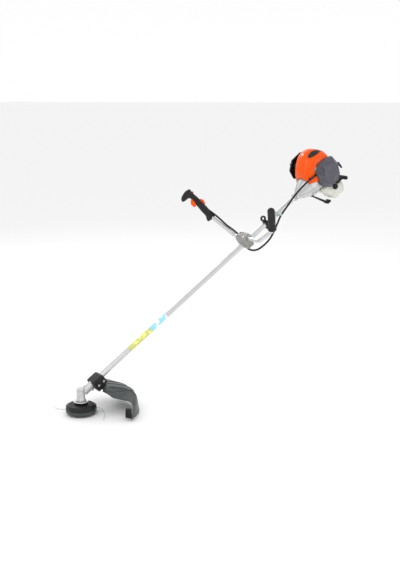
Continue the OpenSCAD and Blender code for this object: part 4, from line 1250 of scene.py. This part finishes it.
def makeHarnessRing():
    bm = startPiece()
    s, r = layout["ringStation"], layout["tubeRadius"]
    turned(bm, [(r + 0.05, s - 10), (r + 4, s - 10), (r + 5, s - 9), (r + 5, s + 9), (r + 4, s + 10),
                (r + 0.05, s + 10)],
           alongX, 64)
    for side in (-1, 1):
        box(bm, (s - 10, side * 4.1 - 3, -29), (s + 10, side * 4.1 + 3, -14), bevel=1.6)
    eye = Matrix.Translation((s, 0, r + 19)) @ alongY
    turned(bm, [(7.5, -4.2), (8.3, -5), (14, -5), (15, -4), (15, 4), (14, 5), (8.3, 5), (7.5, 4.2)], eye,
           64)
    box(bm, (s - 7, -4.4, r + 1), (s + 7, 4.4, r + 8.5), bevel=1.8)
    finishPiece(bm, "harnessRing", "root", "black_plastic", tubeFrame, ["harness_ring"])


makeStickers()
makeHarnessRing()
print("tube trim made")

# ---- handlebar and its clamp ----

bar = {
    "route": [(1110, 240, 157), (1110, 77, 28), (1110, -132, 28), (1110, -309, 124), (1132, -352, 227)],
    "radius": 9.5,
    "bend": 62,
    "outerBend": 34,
}


def handlebar():
    bm = startPiece()
    corners = bar["route"]
    inner = bentPath(corners[:4], bar["bend"], 12)
    path = inner[:-1] + bentPath([inner[-2], *corners[3:]], bar["outerBend"], 12)[1:]
    tubeAlong(bm, path, bar["radius"], 32)
    finishPiece(bm, "handlebar", "root", "bare_aluminium", tubeFrame, ["handlebar"])


clamp = {
    "baseRows": [(-24, 19, 29, 5), (-22.5, 20.5, 30.5, 6), (-15, 21, 31, 6), (3, 23.2, 39, 7),
                 (6, 24, 40, 7), (26.6, 24, 40, 7),
                 (27.8, 23, 39, 6)],
    "capRows": [(28.2, 23, 39, 6), (29.4, 24, 40, 7), (35, 24, 40, 7), (37.5, 22.5, 38.5, 7),
                (44.6, 18, 33, 6), (46, 16.4, 31.4, 5)],
    "ribs": (-27, -9, 9, 27),
}


def blockOf(bm, rows, centre):
    outlines = []
    for n, halfLong, halfWide, corner in rows:
        flat = [(centre - halfLong, -halfWide), (centre + halfLong, -halfWide),
                (centre + halfLong, halfWide),
                (centre - halfLong, halfWide)]
        outlines.append([(p.x, p.y, n) for p in rounded([(*q, 0) for q in flat], corner, 5)])
    skin(bm, outlines)


def clampBlocks():
    s = layout["clampStation"]
    bm = startPiece()
    blockOf(bm, clamp["baseRows"], s)
    for y in (-40.6, 40.6):
        box(bm, (s - 15, y - 1.4, 10), (s + 15, y + 1.4, 23), bevel=0.8)
    for side in (-1, 1):
        for y in clamp["ribs"]:
            box(bm, (s + side * 22.5 - 2, y - 1.5, -14), (s + side * 22.5 + 2, y + 1.5, 20), bevel=0.7)
    finishPiece(bm, "clampBase", "root", "clamp_casting", tubeFrame, ["clamp_base"])
    bm = startPiece()
    blockOf(bm, clamp["capRows"], s)
    rod(bm, 14.5, (s, -38.5, 30.5), (s, 38.5, 30.5), 40, bevel=1.5)
    for y in (-9, 9):
        box(bm, (s - 20, y - 1.5, 33), (s + 20, y + 1.5, 47.5), bevel=0.8)
    finishPiece(bm, "clampCap", "root", "clamp_casting", tubeFrame, ["clamp_cap"])


handlebar()
clampBlocks()
print("handlebar and clamp made")


# ---- left grip ----

leftHand = {
    "start": (1111, -311, 129),
    "end": (1134, -359, 243),
    "profile": [(0, 9.7), (0.4, 15), (1.4, 18.4), (4, 20.6), (7, 20.8), (10, 19.2), (13, 17.6), (20, 16.4),
                (34, 16.6), (50, 17.8),
                (66, 18), (84, 17.4), (100, 17.2), (108, 17.4), (114, 17), (119, 15), (122.6, 11.8),
                (125, 6.5), (125.8, 2.5)],
    "flutes": 30,
    "fluteDepth": 0.55,
    "fluted": (16, 110),
    "seam": 41,
}


def aimed(start, end):
    ahead = (Vector(end) - Vector(start)).normalized()
    side = (Vector((1, 0, 0)) - ahead * ahead.x).normalized()
    return Matrix.Translation(start) @ Matrix((side, ahead.cross(side), ahead)).transposed().to_4x4()


def gripRadius(z, angle):
    radius = ramp(leftHand["profile"], z)
    low, high = leftHand["fluted"]
    if low < z < high:
        fade = min(1, (z - low) / 3, (high - z) / 3)
        if abs(z - leftHand["seam"]) < 1.6:
            return radius - 0.8
        radius -= leftHand["fluteDepth"] * fade * (0.5 + 0.5 * cos(leftHand["flutes"] * angle))
    return radius


def leftGrip():
    bm = startPiece()
    place = aimed(leftHand["start"], leftHand["end"])
    stations = sorted({z for z, _ in leftHand["profile"]} | {leftHand["seam"] + d for d in (-1.7, -1.2,
        1.2, 1.7)}
                      | set(range(16, 111, 6)))
    sides = leftHand["flutes"] * 4
    rows = [[place @ Vector((gripRadius(z, 2 * pi * k / sides) * cos(2 * pi * k / sides),
                             gripRadius(z, 2 * pi * k / sides) * sin(2 * pi * k / sides),
                             z)) for k in range(sides)]
            for z in stations]
    skin(bm, rows)
    finishPiece(bm, "leftGrip", "root", "grip_rubber", tubeFrame, ["left_grip"])


leftGrip()
print("left grip made")


# ---- throttle handle ----

stockStart, stockEnd = Vector((1110, 205, 129)), Vector((1134, 356.5, 258))
stockAxis = (stockEnd - stockStart).normalized()
stockFront = (Vector((-1, 0, 0)) + stockAxis * stockAxis.x).normalized()
stockTurn = Matrix((stockFront, stockAxis.cross(stockFront), stockAxis)).transposed().to_4x4()
stockFrame = tubeFrame @ Matrix.Translation(stockStart) @ stockTurn
sideways = Matrix.Rotation(pi / 2, 4, "X")  # draws a plate in the handle's x and z

stock = {
    # station, middle of the section, half depth, half width, boxiness
    "rows": [(-11.6, 7, 12, 0.02, 2.4), (-11.2, 7, 18, 6, 2.4), (-8.6, 7, 22.6, 11.4, 2.6),
             (-3, 6, 24, 14, 2.6), (5, 5, 23.2, 15.4, 2.5),
             (12, 3, 21, 16.6, 2.3), (22, 0.6, 18.6, 17.4, 2.1), (40, 0, 18.2, 17.8, 2),
             (64, 0, 18.2, 18, 2), (78, -0.4, 17.6, 17.6, 2),
             (92, -0.8, 16.8, 17, 2), (107, -1.4, 16.2, 16.5, 2), (122, -1.8, 16, 16.4, 2),
             (136, -1.6, 15.6, 16.2, 2.1),
             (150, -0.8, 14.6, 16, 2.2), (158, 0, 13.8, 15.8, 2.4), (165, 4, 17, 15.4, 2.6),
             (171, 12.6, 26.6, 14.8, 2.8),
             (177, 19, 34, 14.2, 3), (184, 21.4, 37.2, 14, 3.2), (191, 21, 36.8, 13.4, 3.2),
             (196, 19, 34.4, 11.6, 3),
             (198.6, 17.4, 30.8, 7.6, 2.8), (199.2, 16.6, 27.6, 0.02, 2.4)],
    "hookTilt": 0.42,  # how far the outer hook leans back to the fingers
    "hookFrom": (158, 168, 14),
    "slotHalf": 6.2,
    "columns": 14,
    "triggerSlot": (92, 150),
    "lockoutSlot": (64, 122),
    "switchSlot": (165, 184),
    "wall": 2.4,
}


def stockColumn(row, side, column):
    z, middle, depth, width, power = row
    slot = min(stock["slotHalf"], width * 0.6)
    first = (slot / width) ** (power / 2)
    start = atan2(first, sqrt(1 - first * first))
    last = stock["columns"]
    if column in (0, last):
        angle = 0 if column == 0 else pi
    else:
        angle = start + (pi - 2 * start) * (column - 1) / (last - 2)
    x, y = cos(angle), sin(angle)
    x = middle + depth * abs(x) ** (2 / power) * (1 if x > 0 else -1)
    low, high, reach = stock["hookFrom"]
    lean = stock["hookTilt"] * max(0.0, min(1.0, (z - low) / (high - low))) * max(0.0, x - reach)
    return Vector((x, side * (0.04 + width * abs(y) ** (2 / power)), z - lean))


def throttleHalf(name, side, node):
    bm = startPiece()
    grid = [[bm.verts.new(stockColumn(row, side,
                                      c)) for c in range(stock["columns"] + 1)] for row in stock["rows"]]
    for i, (a, b) in enumerate(zip(grid, grid[1:])):
        middle = (stock["rows"][i][0] + stock["rows"][i + 1][0]) / 2
        for c in range(stock["columns"]):
            inTrigger = c == 0 and stock["triggerSlot"][0] < middle < stock["triggerSlot"][1]
            inBack = c == stock["columns"] - 1 and any(low < middle < high for low, high in
                                                       (stock["lockoutSlot"], stock["switchSlot"]))
            if not (inTrigger or inBack):
                bm.faces.new((a[c], a[c + 1], b[c + 1], b[c]))
    bmesh.ops.recalc_face_normals(bm, faces=bm.faces)
    middleFace = min(bm.faces, key=lambda f: (f.calc_center_median() - Vector((0, side * 17, 50))).length)
    if middleFace.normal.y * side < 0:
        bmesh.ops.reverse_faces(bm, faces=bm.faces)
    piece = showMesh(bm, name, "black_plastic", stockFrame)
    wall = piece.modifiers.new("wall", "SOLIDIFY")
    wall.thickness = stock["wall"] / 1000
    wall.offset = -1
    attach(piece, "root", [node])


def throttleDetails():
    bm = startPiece()
    for z in (18, 52, 86, 160):
        for side in (-1, 1):
            rod(bm, 3.2, (-7, side * 14, z), (-7, side * 17.6, z), 24, bevel=0.5)
    for z in (100, 108, 116, 124, 132):
        for side in (-1, 1):
            box(bm, (-8, side * 16.4 - 1, z - 1.2), (7, side * 16.4 + 1, z + 1.2), bevel=0.7)
    finishPiece(bm, "throttleScrews", "root", "grip_rubber", stockFrame)


levers = {
    "trigger": [(14.5, 146.5), (8.5, 146), (6.5, 141), (8, 134), (12, 120), (15, 104), (20, 98.8),
                (27, 97.8), (31.5, 101), (33.6, 112),
                (33, 124), (28.5, 133), (20, 141)],
    "lockout": [(-12, 69.6), (-8.6, 74), (-9, 84), (-12, 98), (-14, 113), (-16.4, 117.4), (-22, 117),
                (-27.6, 108), (-30, 97), (-27, 86),
                (-19, 73)],
    "half": 4.9,
}


def lever(name, outline, body, node, ridges):
    bm = startPiece()
    points = rounded([(*p, 0) for p in outline], 5, 4)
    plate(bm, points, -levers["half"], levers["half"], sideways, 1.1, 3)
    for x, z, turn in ridges:
        place = Matrix.Translation((x, 0, z)) @ Matrix.Rotation(turn, 4, "Y")
        box(bm, (-0.8, -3.9, -0.8), (0.8, 3.9, 0.8), place, 0.4)
    finishPiece(bm, name, body, "orange_plastic", stockFrame, [node])


def stopSwitch():
    bm = startPiece()
    box(bm, (-18.6, -3.8, 169.6), (-12, 3.8, 176.2), bevel=0.6)
    box(bm, (-21.4, -3.8, 170.4), (-18, 3.8, 175.4), bevel=0.9, segments=3)
    for z in (171.4, 172.9, 174.4):
        rod(bm, 0.45, (-21.4, -3.2, z), (-21.4, 3.2, z), 12)
    finishPiece(bm, "stopSwitch", "stop", "red_plastic", stockFrame, ["stop_switch"])


throttleHalf("throttleCaseLeft", -1, "throttle_case_left")
throttleHalf("throttleCaseRight", 1, "throttle_case_right")
throttleDetails()
lever("trigger", levers["trigger"], "trigger", "trigger", [(33.6, z, 0) for z in (107, 112, 117, 122)])
lever("lockoutLever", levers["lockout"], "lockout", "lockout_lever",
      [(-28.6, 102, -0.3), (-26.8, 107.4, -0.4), (-24.4, 112, -0.6)])
stopSwitch()
print("throttle handle made")


# ---- throttle cable ----

cable = {
    "route": [(1124, 222, 154), (1125, 198, 140), (1125, 165, 112), (1122, 125, 78), (1126, 90, 44),
              (1127, 72, 20), (1120, 52, -6),
              (1112, 32, -31), (1102, 6, -36), (1098, -18, -37), (1099, -40, -38), (1108, -55, -40),
              (1124, -63, -43), (1166, -62, -47),
              (1208, -60, -43), (1250, -54, -30), (1290, -46, -16), (1331, -38, -2), (1390, -40, 14),
              (1447, -46, 32), (1500, -58, 46), (1540, -66, 52), (1575, -69, 51), (1590, -68, 50),
              (1603, -66, 48)],
    "radius": 4.8,
    "clipStation": 1331,
    "clipAt": (-38, -2),
}


def throttleCable():
    bm = startPiece()
    path = smoothPath(cable["route"], 8)
    tubeAlong(bm, path, cable["radius"], 20)
    for share in (0.0, 1.0):
        i = int(share * (len(path) - 1))
        inward = 4 if share == 0 else -4
        a, b = path[i], path[i + inward]
        rod(bm, 5.6, a, a + (b - a).normalized() * 12, 24, bevel=0.8)
    finishPiece(bm, "throttleCable", "root", "grip_rubber", tubeFrame, ["throttle_cable"])
    bm = startPiece()
    s = cable["clipStation"]
    y, n = cable["clipAt"]
    turned(bm, [(13.05, s - 5), (14.6, s - 5), (15, s - 4), (15, s + 4), (14.6, s + 5), (13.05, s + 5)],
           alongX)
    place = Matrix.Translation((0, y, n)) @ alongX
    turned(bm, [(4.85, s - 5), (6.4, s - 5), (6.8, s - 4), (6.8, s + 4), (6.4, s + 5), (4.85, s + 5)],
           place, 40)
    box(bm, (s - 4.5, y + 5, n - 1.2), (s + 4.5, -13.6, n + 1.6), bevel=0.7)
    finishPiece(bm, "cableClip", "root", "nylon", tubeFrame)


throttleCable()
print("throttle cable made")


# ---- clutch housing, crankcase and stand ----

casting = {
    "cone": [(13.05, 1462), (18.6, 1462), (20, 1463.4), (20, 1478.6), (18.4, 1481), (19, 1490),
             (22.6, 1494.6), (28, 1500.4), (37, 1517.6),
             (46, 1535), (50.6, 1549), (53, 1557), (55.4, 1558.4), (57, 1559.6), (57, 1564.9),
             (49, 1564.9), (43, 1534), (20, 1512),
             (14.2, 1506), (14.2, 1490), (13.05, 1490)],
    "coneRib": [(1483, 14), (1483, 19.8), (1492, 23.4), (1501, 31.4), (1536, 49.6), (1556.6, 57.2),
                (1558, 50), (1536, 43), (1502, 26)],
    "disc": [(52, 1565.1), (56, 1565.1), (57, 1566), (57, 1592.6), (55.6, 1594), (8.4, 1594), (8.4, 1590),
             (52, 1590)],
    "caseHalf": (40, -46, 38),
    "drainAt": (1640, 0, -38),
}


def lugsOf(bm, low, high):
    for turn in spokes(4, pi / 4, "X"):
        box(bm, (low, -6, 50), (high, 6, 64), turn, 2.4, 3)


def clutchHousing():
    bm = startPiece()
    turned(bm, casting["cone"], alongX, 96)
    for k in range(12):
        if k % 3 != 1:
            turn = Matrix.Rotation(pi / 12 + k * pi / 6, 4, "X")
            plate(bm, [(x, y, 0) for x, y in casting["coneRib"]], -1.3, 1.3, turn, 0.6)
    lugsOf(bm, 1552, 1564.9)
    box(bm, (1464.5, -27, -6), (1478.5, -16, 6), bevel=1.6)
    rod(bm, 3.4, (1471.5, -23, -9), (1471.5, -23, 9), 24, bevel=0.6)
    finishPiece(bm, "clutchHousing", "root", "cast_aluminium", tubeFrame, ["clutch_housing"])


def crankcase():
    half, low, high = casting["caseHalf"]
    corners = [(-half, low), (half, low), (half, high), (-half, high)]
    bm = startPiece()
    outline = rounded([(y, n, 0) for y, n in corners], [14, 14, 3, 3], 6)
    skin(bm, [[(s, p.x * k, -4 + (p.y + 4) * k) for p in outline]
              for s, k in ((1590, 0.97), (1594.2, 1), (1628, 1), (1629, 1.02), (1631, 1.02), (1632, 1),
                           (1667.8, 1))], (False, False))
    finishPiece(bm, "crankcaseBarrel", "root", "cast_aluminium", tubeFrame, ["crankcase"], solid=5)
    bm = startPiece()
    turned(bm, casting["disc"], alongX, 96)
    lugsOf(bm, 1565.1, 1578)
    place = Matrix.Translation(casting["drainAt"]) @ alongY
    turned(bm, [(7.4, -46.4), (9.1, -46.4), (9.6, -45.6), (9.6, -38.5), (7.4, -38.5)], place, 40)
    for n in (-30, -16, -2, 12):
        for side in (-1, 1):
            box(bm, (1594.2, side * 40 - 1.6, n - 1.2), (1627, side * 40 + 1.6, n + 1.2), bevel=0.7)
            box(bm, (1650 if n < -20 else 1633, side * 40 - 1.6, n - 1.2),
                (1666, side * 40 + 1.6, n + 1.2), bevel=0.7)
    for y in (-24, 0, 24):
        box(bm, (1594.2, y - 1.4, -48), (1666, y + 1.4, -44.5), bevel=0.7)
    finishPiece(bm, "crankcaseFlange", "root", "cast_aluminium", tubeFrame)


standShape = {
    "leg": [(1550, -52), (1561, -59), (1627, -149), (1622, -156), (1613, -150)],
    "foot": [(1615, -156), (1636, -156), (1638, -153.6), (1638, -145), (1634, -145), (1634, -150),
             (1615, -150)],
    "root": [(1549, -56.6), (1566, -57.4), (1566, -63), (1553, -62)],
    "halfWidths": (7.5, 17, 14),
}


def stand():
    bm = startPiece()
    legHalf, footHalf, rootHalf = standShape["halfWidths"]
    flat = lambda key: [(*p, 0) for p in standShape[key]]
    plate(bm, rounded(flat("leg"), 3, 4), -legHalf, legHalf, sideways, 1.4)
    plate(bm, rounded(flat("foot"), [1, 4, 1.5, 1.2, 1.2, 1.5, 1], 3), -footHalf, footHalf, sideways, 1.2)
    plate(bm, rounded(flat("root"), 2, 3), -rootHalf, rootHalf, sideways, 1.3)
    for y in (-10, 10):
        rod(bm, 3.4, (1559, y, -65), (1559, y, -61), 24, bevel=0.6)
    finishPiece(bm, "stand", "root", "black_plastic", tubeFrame, ["stand"])


clutchHousing()
crankcase()
stand()
print("castings and stand made")


# ---- finishes of the pieces that stay as the frame has them ----

slotOf = {s["node"]: s["material_slot"] for s in frame["record"]["subparts"]}
for name, node in frame["nodes"].items():
    node.data.materials.clear()
    node.data.materials.append(finishes[slotOf[name]])
print("frame pieces finished")
